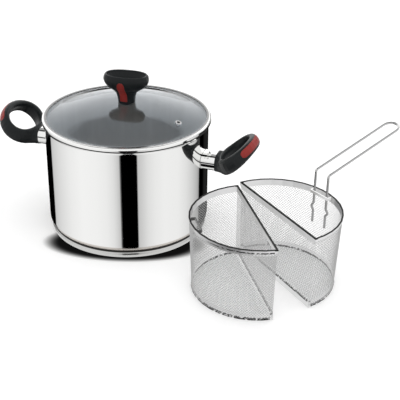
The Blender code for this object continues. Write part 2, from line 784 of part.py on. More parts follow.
def flat_wall():
    low, high = mesh_heights()
    inside = MESH_INSET + MESH_SHEET
    half = math.sqrt((basket_radius(BASKET_HEIGHT / 2) - MESH_INSET) ** 2 - inside ** 2)
    mesh = thicken(diamond_sheet(2 * half, high - low, max(2, round(2 * half / MESH_CELL))))
    for vert in mesh.verts:
        height = low + vert.co.z
        reach = math.sqrt((basket_radius(height) - MESH_INSET) ** 2 - inside ** 2)
        vert.co = Vector((MESH_INSET + vert.co.y, vert.co.x / half * reach, height))
    return mesh


def basket_floor():
    """The floor's plate; its diamonds are cut by floor_holes."""
    low = BAND_SHEET + GAP
    inset = BAND_DEPTH + GAP
    return loft([half_round(low, inset), half_round(low + MESH_SHEET, inset)])


def floor_holes():
    """Diamond prisms over the floor, trimmed to a border along its edge."""
    mesh = bmesh.new()
    border = half_round(0.0, BAND_DEPTH + GAP + MESH_STRAND)
    count = 2 * int(basket_radius(0.0) / MESH_CELL * math.sqrt(2) + 1)
    side = MESH_CELL / math.sqrt(2)
    bmesh.ops.create_grid(mesh, x_segments=count, y_segments=count, size=count * side / 2)
    bmesh.ops.rotate(mesh, verts=mesh.verts, matrix=Matrix.Rotation(math.pi / 4, 3, "Z"))
    cut = bmesh.ops.inset_individual(mesh, faces=mesh.faces, thickness=MESH_STRAND / 2, use_even_offset=True)
    bmesh.ops.delete(mesh, geom=cut["faces"], context="FACES")
    for first, second in zip(border, border[1:] + border[:1]):
        run = second - first
        everything = mesh.verts[:] + mesh.edges[:] + mesh.faces[:]
        bmesh.ops.bisect_plane(mesh, geom=everything, plane_co=first, plane_no=(run.y, -run.x, 0.0),
                               clear_outer=True)
    least = (side * HOLE_SHARE) ** 2
    small = [face for face in mesh.faces if face.calc_area() < least]
    bmesh.ops.delete(mesh, geom=small, context="FACES")
    bmesh.ops.translate(mesh, verts=mesh.verts, vec=(0.0, 0.0, -OVERRUN))
    raised = bmesh.ops.extrude_face_region(mesh, geom=mesh.faces[:], use_keep_orig=True)
    tops = [item for item in raised["geom"] if isinstance(item, bmesh.types.BMVert)]
    bmesh.ops.translate(mesh, verts=tops, vec=(0.0, 0.0, 2 * OVERRUN))
    return mesh


def staple_body():
    """A flat strip bent into a low bridge, its feet at the rim band. Local: outward is +X."""
    top = BASKET_HEIGHT - STAPLE_DROP
    low = top - STAPLE_TALL
    rim = basket_radius(low) * FACET_SHARE - BAND_DEPTH - GAP
    half = STAPLE_WIDTH / 2
    inner = half - STAPLE_SHEET
    bend = STAPLE_SHEET
    foot = [math.sqrt(rim ** 2 - y ** 2) for y in (half, inner)]
    back = STAPLE_REACH - STAPLE_SHEET
    outline = [(foot[0], half), (back + bend, half), (back, half - bend), (back, -half + bend),
               (back + bend, -half), (foot[0], -half), (foot[1], -inner), (STAPLE_REACH, -inner),
               (STAPLE_REACH, inner), (foot[1], inner)]
    return loft([[Vector((x, y, low)) for x, y in outline], [Vector((x, y, top)) for x, y in outline]])


def build_basket(looks, side, spot, turn, staple_angle):
    base = frame(f"basket_{side}", (*spot, 0.0), turn)
    place(band(BASKET_HEIGHT, 1, RIM_BAND_OUTSIDE), f"rim_band_{side}", looks["polished"], base)
    place(band(0.0, -1, BASE_BAND_OUTSIDE), f"base_band_{side}", looks["polished"], base)
    place(curved_wall(), f"round_mesh_{side}", looks["mesh"], base, smooth=False)
    place(flat_wall(), f"flat_mesh_{side}", looks["mesh"], base, smooth=False)
    floor = place(basket_floor(), f"floor_mesh_{side}", looks["mesh"], base, smooth=False)
    holes = cutter(floor_holes(), f"floor_holes_{side}")
    holes.parent = base
    combine(floor, holes)
    mesh = staple_body()
    mesh.transform(Matrix.Rotation(staple_angle, 4, "Z"))
    place(mesh, f"staple_{side}", looks["brushed"], base)
    return base


def rounded(points, radius, steps):
    """A path with its inner corners turned on a radius."""
    path = [points[0]]
    for before, corner, after in zip(points, points[1:], points[2:]):
        first = (before - corner).normalized()
        second = (after - corner).normalized()
        half = first.angle(second) / 2
        shorter = min((before - corner).length, (after - corner).length)
        reach = min(radius / math.tan(half), shorter * 0.45)
        start, end = corner + first * reach, corner + second * reach
        for step in range(steps + 1):
            share = step / steps
            near = start.lerp(corner, share)
            far = corner.lerp(end, share)
            path.append(near.lerp(far, share))
    path.append(points[-1])
    return path


def wire_path():
    """Centre line of the handle: kinked legs, a bend, the arm and its round end."""
    inward = STAPLE_REACH + WIRE_PLAY + WIRE_RADIUS
    half = WIRE_SPREAD / 2
    bends = ((half, WIRE_LEG_END), (half, KINK_HEIGHT - KINK_TALL / 2), (half + KINK_OUT, KINK_HEIGHT),
             (half, KINK_HEIGHT + KINK_TALL / 2), (half, WIRE_BEND_HEIGHT))
    side = [Vector((inward, across, height)) for across, height in bends]
    along = Vector((math.cos(WIRE_RISE), 0.0, math.sin(WIRE_RISE)))
    arm = side[-1] + along * WIRE_ARM
    leg = rounded(side + [arm], WIRE_BEND_RADIUS, 4)
    centre = Vector((arm.x, 0.0, arm.z))
    turn = [centre + along * (half * math.sin(angle)) + Vector((0.0, half * math.cos(angle), 0.0))
            for angle in (math.pi * step / 10 for step in range(1, 10))]
    mirror = [Vector((point.x, -point.y, point.z)) for point in reversed(leg)]
    return leg + turn + mirror


def build_wire(looks, base, staple_angle):
    holder = frame("basket_handle", (0.0, 0.0, 0.0), staple_angle, base)
    curve = bpy.data.curves.new("wire_handle", "CURVE")
    curve.dimensions = "3D"
    curve.bevel_depth = WIRE_RADIUS
    curve.bevel_resolution = WIRE_SIDES // 4
    curve.use_fill_caps = True
    path = wire_path()
    spline = curve.splines.new("POLY")
    spline.points.add(len(path) - 1)
    for point, spot in zip(spline.points, path):
        point.co = (*spot, 1.0)
    spline.use_smooth = True
    curve.materials.append(looks["polished"])
    wire = bpy.data.objects.new("wire_handle", curve)
    bpy.context.collection.objects.link(wire)
    wire.parent = holder


def make_looks():
    return {
        "polished": material("polished_steel", (0.82, 0.82, 0.81), 1.0, 0.08),
        "brushed": material("brushed_steel", (0.70, 0.70, 0.69), 1.0, 0.25),
        "aluminium": material("aluminium", (0.80, 0.80, 0.80), 1.0, 0.35),
        "mesh": material("steel_mesh", (0.72, 0.72, 0.72), 1.0, 0.30),
        "glass": material("lid_glass", (0.72, 0.76, 0.80), 0.0, 0.03, Transmission_Weight=1.0),
        "black": material("black_moulding", (0.018, 0.020, 0.021), 0.0, 0.38),
        "red": material("red_moulding", (0.30, 0.028, 0.022), 0.0, 0.35),
    }


def main():
    clear_scene()
    looks = make_looks()
    pot = build_pot(looks)
    for side, extra in (("right", 0.0), ("left", math.pi)):
        turn = Matrix.Rotation(HANDLE_AZIMUTH + extra, 4, "Z")
        build_ferrule(looks, pot, side, turn)
        build_grip(looks, pot, side, turn)
    lid = frame("lid", (0.0, 0.0, 0.0))
    build_rim(looks, lid)
    build_glass(looks, lid)
    build_vent(looks, lid)
    build_knob(looks, lid)
    build_basket(looks, "left", LEFT_BASKET, LEFT_TURN, LEFT_STAPLE_ANGLE)
    base = build_basket(looks, "right", RIGHT_BASKET, RIGHT_TURN, RIGHT_STAPLE_ANGLE)
    build_wire(looks, base, RIGHT_STAPLE_ANGLE)


main()
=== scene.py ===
# %% [markdown]
# A polished stockpot with a glass lid stands beside two half-round straining baskets.
# The rigid frame comes from the imported model, so every new piece goes where that frame says.
# We load it first.

import json
import math

import bmesh
import bpy
from bmesh.types import BMEdge, BMFace, BMVert
from mathutils import Matrix, Vector

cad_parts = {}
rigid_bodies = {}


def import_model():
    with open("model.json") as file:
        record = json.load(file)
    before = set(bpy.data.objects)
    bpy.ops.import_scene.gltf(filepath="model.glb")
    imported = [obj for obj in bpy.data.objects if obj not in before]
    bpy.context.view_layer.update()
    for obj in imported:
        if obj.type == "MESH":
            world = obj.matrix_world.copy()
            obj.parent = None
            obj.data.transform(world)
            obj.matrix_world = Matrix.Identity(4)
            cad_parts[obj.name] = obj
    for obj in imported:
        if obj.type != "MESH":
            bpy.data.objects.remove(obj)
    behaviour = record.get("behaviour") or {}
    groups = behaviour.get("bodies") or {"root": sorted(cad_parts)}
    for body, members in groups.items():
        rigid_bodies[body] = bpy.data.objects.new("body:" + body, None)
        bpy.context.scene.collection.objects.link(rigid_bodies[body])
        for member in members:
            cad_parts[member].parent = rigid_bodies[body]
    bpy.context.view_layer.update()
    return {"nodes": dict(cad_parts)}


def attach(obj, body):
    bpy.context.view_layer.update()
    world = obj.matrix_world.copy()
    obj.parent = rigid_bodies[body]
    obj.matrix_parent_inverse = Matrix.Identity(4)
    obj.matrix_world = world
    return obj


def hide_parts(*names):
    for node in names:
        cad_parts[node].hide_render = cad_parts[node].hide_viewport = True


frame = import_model()
nodes = frame["nodes"]
scene = bpy.context.scene

# %% [markdown]
# The camera looks down at 28 degrees through a long lens, with a small roll.
# It could be turned by hand until the view looks right, but then nobody could repeat it.
# So its three directions are worked out from those angles, and become the columns of its matrix.
# The small shift puts the pot left of the middle, as the photograph has it.

# %% Camera
VIEW_DOWN = math.radians(28.0)
VIEW_ROLL = math.radians(1.76)
VIEW_DISTANCE = 1.443
VIEW_TARGET = Vector((0.15006, 0.0, 0.03768))
LENS_MM = 83.896
SENSOR_MM = 36.0
SIDE_SHIFT = -0.06498


def add_camera():
    back = Vector((0.0, -math.cos(VIEW_DOWN), math.sin(VIEW_DOWN)))
    up = Vector((0.0, math.sin(VIEW_DOWN), math.cos(VIEW_DOWN)))
    right = Vector((1.0, 0.0, 0.0))
    rolled_right = right * math.cos(VIEW_ROLL) + up * math.sin(VIEW_ROLL)
    rolled_up = up * math.cos(VIEW_ROLL) - right * math.sin(VIEW_ROLL)
    turn = Matrix((rolled_right, rolled_up, back)).transposed().to_4x4()
    data = bpy.data.cameras.new("view")
    data.lens = LENS_MM
    data.sensor_width = SENSOR_MM
    data.shift_x = SIDE_SHIFT
    made = bpy.data.objects.new("view", data)
    scene.collection.objects.link(made)
    made.matrix_world = Matrix.Translation(VIEW_TARGET + back * VIEW_DISTANCE) @ turn
    scene.camera = made
    return made


camera = add_camera()
print("camera at", tuple(round(value, 3) for value in camera.location))

# %% [markdown]
# Materials are built from nodes, but written as sums.
# One small class holds a socket, so that an expression such as 1 - mask * 0.5 adds its Math nodes.

# %% Shader arithmetic


class Signal:
    """A node's output that takes part in Python arithmetic."""

    def __init__(self, finish, socket):
        self.finish = finish
        self.socket = socket

    def maths(self, operation, *values):
        return self.finish.node("ShaderNodeMath", {"operation": operation}, dict(enumerate(values)))

    def __add__(self, other):
        return self.maths("ADD", self, other)

    def __sub__(self, other):
        return self.maths("SUBTRACT", self, other)

    def __rsub__(self, other):
        return self.maths("SUBTRACT", other, self)

    def __mul__(self, other):
        return self.maths("MULTIPLY", self, other)

    def __truediv__(self, other):
        return self.maths("DIVIDE", self, other)

    def __pow__(self, other):
        return self.maths("POWER", self, other)

    __radd__ = __add__
    __rmul__ = __mul__

    def clamp(self):
        return self.maths("MINIMUM", self.maths("MAXIMUM", self, 0.0), 1.0)


def above(value, level, blur):
    """0 where a value is under a level, 1 where it is over it, with a short blur between."""
    return ((value - level) / blur + 0.5).clamp()


def between(limits, share):
    """A number between two limits, by a share from 0 to 1."""
    low, high = limits
    return low + (high - low) * share


print("arithmetic ready")

# %% [markdown]
# A second class holds a material.
# Its first method adds any node, and the short ones after it name the nodes that come up often.
# Each of them returns a signal, so a finish reads as a few sums and not as a web of links.

# %% Finish class
BUMP_DISTANCE = 0.0002


class Finish:
    """A material and its shader, with methods that add nodes."""

    def __init__(self, name, **constants):
        self.material = bpy.data.materials.new(name)
        self.material.use_nodes = True
        self.tree = self.material.node_tree
        self.shader = self.tree.nodes["Principled BSDF"]
        for key, value in constants.items():
            self.shader.inputs[key.replace("_", " ")].default_value = value

    def node(self, kind, settings=None, inputs=None, output=0):
        made = self.tree.nodes.new(kind)
        for key, value in (settings or {}).items():
            if key == "stops":
                fill_ramp(made.color_ramp, value)
            else:
                setattr(made, key, value)
        for key, value in (inputs or {}).items():
            if isinstance(value, Signal):
                self.tree.links.new(value.socket, made.inputs[key])
            else:
                made.inputs[key].default_value = value
        return Signal(self, made.outputs[output])

    def feed(self, **signals):
        for key, value in signals.items():
            self.tree.links.new(value.socket, self.shader.inputs[key.replace("_", " ")])

    def place(self):
        return self.node("ShaderNodeTexCoord", output="Object")

    def height(self, where):
        return self.node("ShaderNodeSeparateXYZ", {}, {0: where}, output=2)

    def vectors(self, operation, *values):
        output = "Value" if operation in ("LENGTH", "DOT_PRODUCT") else "Vector"
        return self.node("ShaderNodeVectorMath", {"operation": operation}, dict(enumerate(values)), output)

    def noise(self, where, scale, detail=2.0):
        return self.node("ShaderNodeTexNoise", {"noise_dimensions": "3D"},
                         {"Vector": where, "Scale": scale, "Detail": detail})

    def stretch(self, where, scale):
        return self.node("ShaderNodeMapping", {}, {"Vector": where, "Scale": scale})

    def smooth_step(self, value, ends, results):
        """Change softly from one result to the other while a value goes from end to end."""
        return self.node("ShaderNodeMapRange", {"interpolation_type": "SMOOTHSTEP"},
                         dict(enumerate((value, *ends, *results))))

    def blend(self, share, first, second):
        ends = [end if isinstance(end, Signal) else (*end, 1.0) for end in (first, second)]
        return self.node("ShaderNodeMix", {"data_type": "RGBA"},
                         {"Factor": share, 6: ends[0], 7: ends[1]}, output=2)

    def bump(self, height, strength):
        return self.node("ShaderNodeBump", {},
                         {"Height": height, "Strength": strength, "Distance": BUMP_DISTANCE})

    def swap_shader(self, factor, other):
        """Put another shader in this one's place where a factor is 1."""
        own = Signal(self, self.shader.outputs[0])
        both = self.node("ShaderNodeMixShader", {}, {0: factor, 1: own, 2: other})
        self.tree.links.new(both.socket, self.tree.nodes["Material Output"].inputs["Surface"])


def fill_ramp(ramp, stops):
    """Stops are (position, grey) pairs, from low to high."""
    while len(ramp.elements) < len(stops):
        ramp.elements.new(0.5)
    for element, (position, tone) in zip(ramp.elements, stops):
        element.position = position
        element.color = (*grey(tone), 1.0)


def grey(level):
    return (level, level, level)


def dim(tone, share):
    return tuple(share * part for part in tone)


def dress(finish, *names):
    """Give CAD nodes a finish in all their slots."""
    for name in names:
        for slot in nodes[name].material_slots:
            slot.material = finish.material


print("finishes can be made")

# %% [markdown]
# Polished steel is a mirror with very fine marks that run round the pot.
# The marks come from a noise that is stretched: it changes fast with height and slowly round the wall.
# Their strength stays low, or the wall would look brushed.
# The ferrules, the steel sleeves of the grips, have two dark lines along them, painted reflections of dark
# things round them.
# Mirrored lines would be hard to place at this size, so each painted reflection is a band of heights in the
# finish.

# %% Polished steel
MARK_SCALE = (6.0, 6.0, 900.0)
MARK_SHARE = 0.7
MARK_STRENGTH = 0.02
CLOUD_SCALE = 9.0
CLOUD_SHADE = 0.96
# The tone of painted dark lines, painted shade and painted reflections alike.
PAINTED_DARK_TONE = grey(0.05)
MASK_BLUR = 0.0004
BRIGHT_TONE = (0.88, 0.88, 0.87)
VENT_TONE = grey(0.42)
FERRULE_REFLECTIONS = ((0.1338, 0.0011), (0.1246, 0.0019))


def band(value, middle, width):
    """1 where a value is inside a narrow band, 0 outside it."""
    return above(value, middle - width / 2, MASK_BLUR) - above(value, middle + width / 2, MASK_BLUR)


def marks_and_cloud(finish, where):
    """Fine marks round the pot, and a slow change over the whole surface."""
    marks = finish.noise(finish.stretch(where, MARK_SCALE), 1.0, detail=3.0)
    return marks, finish.noise(where, CLOUD_SCALE, detail=1.0)


def polished_steel(name, tone, rough, lines=()):
    """Lines are (height, width) pairs of painted dark reflections."""
    finish = Finish(name, Metallic=1.0)
    where = finish.place()
    marks, cloud = marks_and_cloud(finish, where)
    colour = finish.blend(cloud, tone, dim(tone, CLOUD_SHADE))
    if lines:
        height = finish.height(where)
        # Painted reflections: dark bands at set heights.
        dark = sum(band(height, level, width) for level, width in lines)
        colour = finish.blend(dark, colour, PAINTED_DARK_TONE)
    finish.feed(Roughness=between(rough, marks * MARK_SHARE + cloud * (1 - MARK_SHARE)),
                Base_Color=colour, Normal=finish.bump(marks, MARK_STRENGTH))
    return finish


trim_steel = polished_steel("trim_steel", BRIGHT_TONE, rough=(0.04, 0.10), lines=FERRULE_REFLECTIONS)
vent_steel = polished_steel("vent_steel", VENT_TONE, rough=(0.10, 0.20))
dress(trim_steel, "handle_ferrule_left", "handle_ferrule_right")
dress(vent_steel, "vent_eyelet")
print("polished steel on the ferrules and the vent")

# %% [markdown]
# Satin steel has been turned on a lathe, so its lines are circles about the pot's axis.
# A picture of brushed metal could be laid on, but it would stretch and show its edges.
# Here the distance from the axis drives the noise, which draws rings on any turned piece.

# %% Satin steel
RING_SCALE = 1400.0
RING_STRENGTH = 0.05
SATIN_CLOUD = 14.0
SATIN_SHADE = 0.93
CORE_TONE = (0.84, 0.84, 0.83)


def from_axis(finish):
    """Distance from the pot's axis, and height."""
    where = finish.place()
    flat = finish.vectors("MULTIPLY", where, (1.0, 1.0, 0.0))
    return finish.vectors("LENGTH", flat), finish.height(where)


def ring_lines(finish):
    radius, height = from_axis(finish)
    return finish.node("ShaderNodeTexNoise", {"noise_dimensions": "1D"},
                       {"W": radius + height, "Scale": RING_SCALE, "Detail": 3.0})


def satin_steel(name, tone, rough):
    finish = Finish(name, Metallic=1.0)
    lines = ring_lines(finish)
    cloud = finish.noise(finish.place(), SATIN_CLOUD)
    finish.feed(Roughness=between(rough, lines), Base_Color=finish.blend(cloud, tone, dim(tone, SATIN_SHADE)),
                Normal=finish.bump(lines, RING_STRENGTH))
    return finish


small_steel = satin_steel("small_steel", BRIGHT_TONE, rough=(0.05, 0.12))
core_steel = satin_steel("core_steel", CORE_TONE, rough=(0.10, 0.20))
dress(small_steel, "knob_washer", "knob_screw", "handle_lug_left", "handle_lug_right")
dress(core_steel, "base_core")
print("satin steel on the small turned pieces")

# %% [markdown]
# The pot's shell is one sheet with two finishes: a mirror outside and satin inside.
# Two materials would need the mesh split, so one material blends both.
# Its two sides are only 0.8 mm apart, and the distance from the axis tells them apart.
# The inside is streaked high up and duller low down, which the glass lid shows from above.
# Two heights get a dark line of painted shade: the lip's top edge under the lid's rim, and the low corner by
# the base.

# %% Shell finish
POT_RADIUS = 0.1208
POT_WALL = 0.0008
MIRROR_TONE = (0.93, 0.93, 0.92)
MIRROR_DULL = (0.90, 0.90, 0.89)
MIRROR_ROUGH = (0.02, 0.05)
INSIDE_TONE = (0.80, 0.78, 0.74)
INSIDE_ROUGH = (0.34, 0.46)
INSIDE_LINES = 2.0
LOW_TONE = (0.64, 0.60, 0.56)
DULL_HEIGHT = 0.07
DULL_BLUR = 0.12
STREAK_SCALE = (55.0, 55.0, 1.5)
STREAK_SHADE = 0.6
LIP_EDGE = 0.1699
FOOT_SHADE_TOP = 0.0101


def two_sided_shell():
    finish = Finish("shell_steel", Metallic=1.0)
    radius, height = from_axis(finish)
    where = finish.place()
    marks, cloud = marks_and_cloud(finish, where)
    lines = ring_lines(finish)
    streaks = finish.noise(finish.stretch(where, STREAK_SCALE), 1.0)
    outside = above(radius, POT_RADIUS - POT_WALL / 2, POT_WALL / 4)
    # Painted shade: dark lines on the lip's top edge and on the corner's underside by the base.
    painted_shade_lines = above(height, LIP_EDGE, MASK_BLUR) + 1 - above(height, FOOT_SHADE_TOP, MASK_BLUR)
    mirror = finish.blend(cloud, MIRROR_TONE, MIRROR_DULL)
    streaked = finish.blend(streaks, INSIDE_TONE, dim(INSIDE_TONE, STREAK_SHADE))
    satin = finish.blend(above(height, DULL_HEIGHT, DULL_BLUR), LOW_TONE, streaked)
    mixed = finish.blend(outside, satin, mirror)
    rough = outside * between(MIRROR_ROUGH, marks) + (1 - outside) * between(INSIDE_ROUGH, lines)
    relief = marks * outside + lines * (1 - outside) * INSIDE_LINES
    finish.feed(Base_Color=finish.blend(painted_shade_lines * outside, mixed, PAINTED_DARK_TONE), Roughness=rough,
                Normal=finish.bump(relief, MARK_STRENGTH))
    return finish


shell_steel = two_sided_shell()
print("shell finish ready")

# %% [markdown]
# The grips and the knob are a soft black moulding: dark, slightly rough, with a very fine grain.
# The inlays are the same kind of moulding in red.
# The grain is a bump from a small noise, and a slow noise varies the gloss, as a touched surface has.

# %% Black and red mouldings
TOUCH_SCALE = 40.0
GRAIN_SCALE = 2600.0
BLACK_TONES = ((0.009, 0.011, 0.012), (0.013, 0.015, 0.016))
RED_TONES = ((0.30, 0.030, 0.025), (0.26, 0.024, 0.020))


def moulding(name, tones, rough, grain, shine):
    finish = Finish(name, Metallic=0.0, Specular_IOR_Level=shine)
    where = finish.place()
    slow = finish.noise(where, TOUCH_SCALE)
    fine = finish.noise(where, GRAIN_SCALE)
    finish.feed(Roughness=between(rough, slow), Base_Color=finish.blend(slow, *tones),
                Normal=finish.bump(fine, grain))
    return finish


black_moulding = moulding("black_moulding", BLACK_TONES, rough=(0.26, 0.38), grain=0.10, shine=0.18)
red_moulding = moulding("red_moulding", RED_TONES, rough=(0.30, 0.40), grain=0.06, shine=0.25)
dress(black_moulding, "handle_grip_left", "handle_grip_right", "lid_knob")
dress(red_moulding, "handle_inlay_left", "handle_inlay_right", "knob_inlay")
print("mouldings dressed")

# %% [markdown]
# The lid's glass is clear, with a faint blue in it and a clearer one in its gloss.
# Lamps would throw no light through real refraction, and the pot would be dark inside.
# So rays that look for a lamp meet a transparent shader instead and pass straight through.

# %% Glass finish
GLASS_BEND = 1.52
GLASS_TONE = (0.89, 0.94, 1.0)
GLOSS_TONE = (0.70, 0.87, 1.0)
GLASS_ROUGH = (0.004, 0.016)
FILM_SCALE = 30.0
FILM_SHADE = 0.97


def clear_glass():
    finish = Finish("lid_tint", Transmission_Weight=1.0, IOR=GLASS_BEND, Specular_Tint=(*GLOSS_TONE, 1.0))
    film = finish.noise(finish.place(), FILM_SCALE)
    finish.feed(Roughness=between(GLASS_ROUGH, film),
                Base_Color=finish.blend(film, GLASS_TONE, dim(GLASS_TONE, FILM_SHADE)))
    shadow = finish.node("ShaderNodeLightPath", output="Is Shadow Ray")
    finish.swap_shader(shadow, finish.node("ShaderNodeBsdfTransparent", {}, {"Color": (*GLASS_TONE, 1.0)}))
    return finish


glass = clear_glass()
print("glass ready")

# %% [markdown]
# The pot, its base, the lid's rim and the glass are all turned shapes.
# A turned shape starts as its outline, a few points on one side of the axis, and is spun a full turn.
# Corners are rounded after the spin: the ring of edges at each corner is found by its place and bevelled.
# The frame's own solids are 48-sided, so these finer ones take their place at the same sizes.

# %% Turning
TURN_STEPS = 192
MERGE_REACH = 0.00001
RING_REACH = 0.00002


def only(kind, items):
    """The items of one kind in what an operator gave back."""
    return [item for item in items if isinstance(item, kind)]


def spin_round(mesh, items):
    bmesh.ops.spin(mesh, geom=items, cent=(0, 0, 0), axis=(0, 0, 1), angle=math.tau,
                   steps=TURN_STEPS, use_merge=True)


def round_ring(mesh, corner, size, segments):
    def on_ring(vert):
        return (abs(math.hypot(vert.co.x, vert.co.y) - corner[0]) < RING_REACH
                and abs(vert.co.z - corner[1]) < RING_REACH)
    ring = [edge for edge in mesh.edges if on_ring(edge.verts[0]) and on_ring(edge.verts[1])]
    bmesh.ops.bevel(mesh, geom=ring, offset=size, offset_type="OFFSET", segments=segments,
                    profile=0.5, affect="EDGES", material=-1)


def turned(outline, corners=()):
    """Spin a closed outline about Z and round its corners, given as (point number, size, segments)."""
    mesh = bmesh.new()
    points = [mesh.verts.new((radius, 0.0, height)) for radius, height in outline]
    edges = [mesh.edges.new(pair) for pair in zip(points, points[1:])]
    if outline[0][0] > 0.0:
        edges.append(mesh.edges.new((points[-1], points[0])))
    spin_round(mesh, points + edges)
    bmesh.ops.remove_doubles(mesh, verts=mesh.verts, dist=MERGE_REACH)
    for number, size, segments in corners:
        round_ring(mesh, outline[number], size, segments)
    bmesh.ops.recalc_face_normals(mesh, faces=mesh.faces)
    return mesh


print("turning ready, in", TURN_STEPS, "steps")

# %% [markdown]
# A finished mesh becomes an object at the origin, with its place in its mesh.
# It then rides with its body, takes its material slot and stands in for the frame's own solid.
# Turned pieces are shaded smooth, apart from edges sharper than a set angle.

# %% Adding a piece
SHARP_ANGLE = math.radians(40)


def as_object(mesh, name, finish):
    data = bpy.data.meshes.new(name)
    mesh.to_mesh(data)
    mesh.free()
    data.materials.append(finish.material)
    made = bpy.data.objects.new(name, data)
    scene.collection.objects.link(made)
    return made


def add_piece(mesh, name, finish, body, replaced, smooth=True):
    """Turn a bmesh into a finished piece of the object."""
    made = as_object(mesh, name, finish)
    if smooth:
        made.data.polygons.foreach_set("use_smooth", [True] * len(made.data.polygons))
        made.data.set_sharp_from_angle(angle=SHARP_ANGLE)
    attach(made, body)
    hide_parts(*replaced)
    return made


print("pieces can be added")

# %% [markdown]
# The shell is drawn from sheet: a flat floor, a round corner, an upright wall, and a flared lip for pouring.
# A solid cylinder with its inside cut away would need a second cut for the lip.
# One closed outline does it all: it goes out along the outer side and back along the inner one.

# %% Pot shell
POT_HEIGHT = 0.1710
POT_CORNER = 0.0130
CORNER_STEPS = 10
BASE_HEIGHT = 0.0085
FLARE_RADIUS = 0.0050
FLARE_RUN = 0.0025
FLARE_TURN = math.radians(50)
FLARE_STEPS = 6


def flare_bend(depth):
    """From the corner of a bend to the start of its round, this deep in the sheet."""
    return (FLARE_RADIUS + depth) * math.tan(FLARE_TURN / 2)


def shell_side(depth):
    """One side of the sheet, from the axis to the lip: floor, corner, flare, lip."""
    low = BASE_HEIGHT - POT_WALL + depth
    rise = (FLARE_RADIUS + POT_WALL) * math.sin(FLARE_TURN) + FLARE_RUN * math.cos(FLARE_TURN)
    bend = flare_bend(depth)
    start = POT_HEIGHT - rise
    arm = bend + FLARE_RUN
    wall = POT_RADIUS - depth
    return [(0.0, low), (wall, low), (wall, start + bend),
            (wall + arm * math.sin(FLARE_TURN), start + bend + arm * math.cos(FLARE_TURN))]


outer, inner = shell_side(0.0), shell_side(POT_WALL)
shell_mesh = turned(outer + inner[::-1], ((1, POT_CORNER, CORNER_STEPS),
                                          (6, POT_CORNER - POT_WALL, CORNER_STEPS),
                                          (2, flare_bend(0.0), FLARE_STEPS),
                                          (5, flare_bend(POT_WALL), FLARE_STEPS)))
print("shell faces", len(shell_mesh.faces), "lip at", outer[3])
add_piece(shell_mesh, "pot_wall", shell_steel, "pot", ["pot_shell"])

# %% [markdown]
# The capsule base is a shallow steel cup that holds the heat-spreading disc against the shell.
# Its lower edge is rounded, and its top is drawn in to meet the shell's corner, with painted shade there and
# along its bottom edge.
# The height of that corner is worked out from its radius, so the cup stops just under the shell.

# %% Base capsule
BASE_RADIUS = 0.1180
BASE_SKIN = 0.0008
BASE_EDGE = 0.0022
EDGE_STEPS = 5
BASE_SHOULDER = 0.0078
SHOULDER_STEPS = 3
BASE_NECK = 0.1152
CORE_THICKNESS = 0.0048
GAP = 0.0003
BASE_TONE = (0.64, 0.64, 0.63)
BASE_DULL = (0.58, 0.58, 0.57)
BASE_ROUGH = (0.20, 0.32)

disc_top = BASE_HEIGHT - POT_WALL - GAP
cup_floor = disc_top - CORE_THICKNESS - GAP
cup_wall = BASE_RADIUS - BASE_SKIN


def corner_height(radius):
    """How far the shell's round corner has risen at a radius."""
    flat = POT_RADIUS - POT_CORNER
    return POT_CORNER - math.sqrt(POT_CORNER ** 2 - (radius - flat) ** 2)


def base_finish():
    finish = Finish("base_steel", Metallic=1.0)
    height = finish.height(finish.place())
    lines = ring_lines(finish)
    # Painted shade: dark on the drawn-in top, where the shell's corner meets it, and at the bottom of the
    # edge, on the floor.
    neck = above(height, BASE_SHOULDER + BASE_SKIN / 2, MASK_BLUR)
    foot = 1 - above(height, BASE_EDGE / 3, MASK_BLUR)
    bright = finish.blend(lines, BASE_TONE, BASE_DULL)
    finish.feed(Roughness=between(BASE_ROUGH, lines),
                Base_Color=finish.blend((neck + foot).clamp(), bright, PAINTED_DARK_TONE),
                Normal=finish.bump(lines, RING_STRENGTH))
    return finish


neck_top = disc_top + corner_height(BASE_NECK)
cup = [(0.0, 0.0), (BASE_RADIUS, 0.0), (BASE_RADIUS, BASE_SHOULDER), (BASE_NECK, neck_top),
       (BASE_NECK - BASE_SKIN, neck_top - BASE_SKIN), (cup_wall, BASE_SHOULDER - BASE_SKIN / 2),
       (cup_wall, cup_floor), (0.0, cup_floor)]
cup_mesh = turned(cup, ((1, BASE_EDGE, EDGE_STEPS), (2, BASE_SKIN, SHOULDER_STEPS)))
print("base faces", len(cup_mesh.faces), "neck up to", round(neck_top, 5))
add_piece(cup_mesh, "base_cup", base_finish(), "pot", ["base_cap"])

# %% [markdown]
# The lid's rim is a steel strip folded round the glass, with a skirt that drops inside the pot.
# Its outer top corner is a wide round, and its inner edge slopes down on to the glass.
# The finish has a painted dark reflection on that slope, and painted shade, nearly black, at the foot, where
# the rim meets the pot's lip.
# Such narrow lines would come and go as mirror images, so they are painted into the finish.

# %% Lid rim
RIM_RADIUS = 0.1242
RIM_SHEET = 0.0006
RIM_LIP = 0.0062
RIM_SLOPE = 0.0024
RIM_FOLD = 0.0022
RIM_FOOT = 0.0006
TIP_LIFT = 0.4
OUTER_STEPS, INNER_STEPS, FOOT_STEPS = 8, 6, 3
SKIRT_DEPTH = 0.0060
SKIRT_PLAY = 0.0010
GLASS_THICKNESS = 0.0036
SLOPE_REFLECTION_TONE = grey(0.18)
CROWN_TONE = (0.92, 0.92, 0.91)
RIM_ROUGH = (0.05, 0.11)

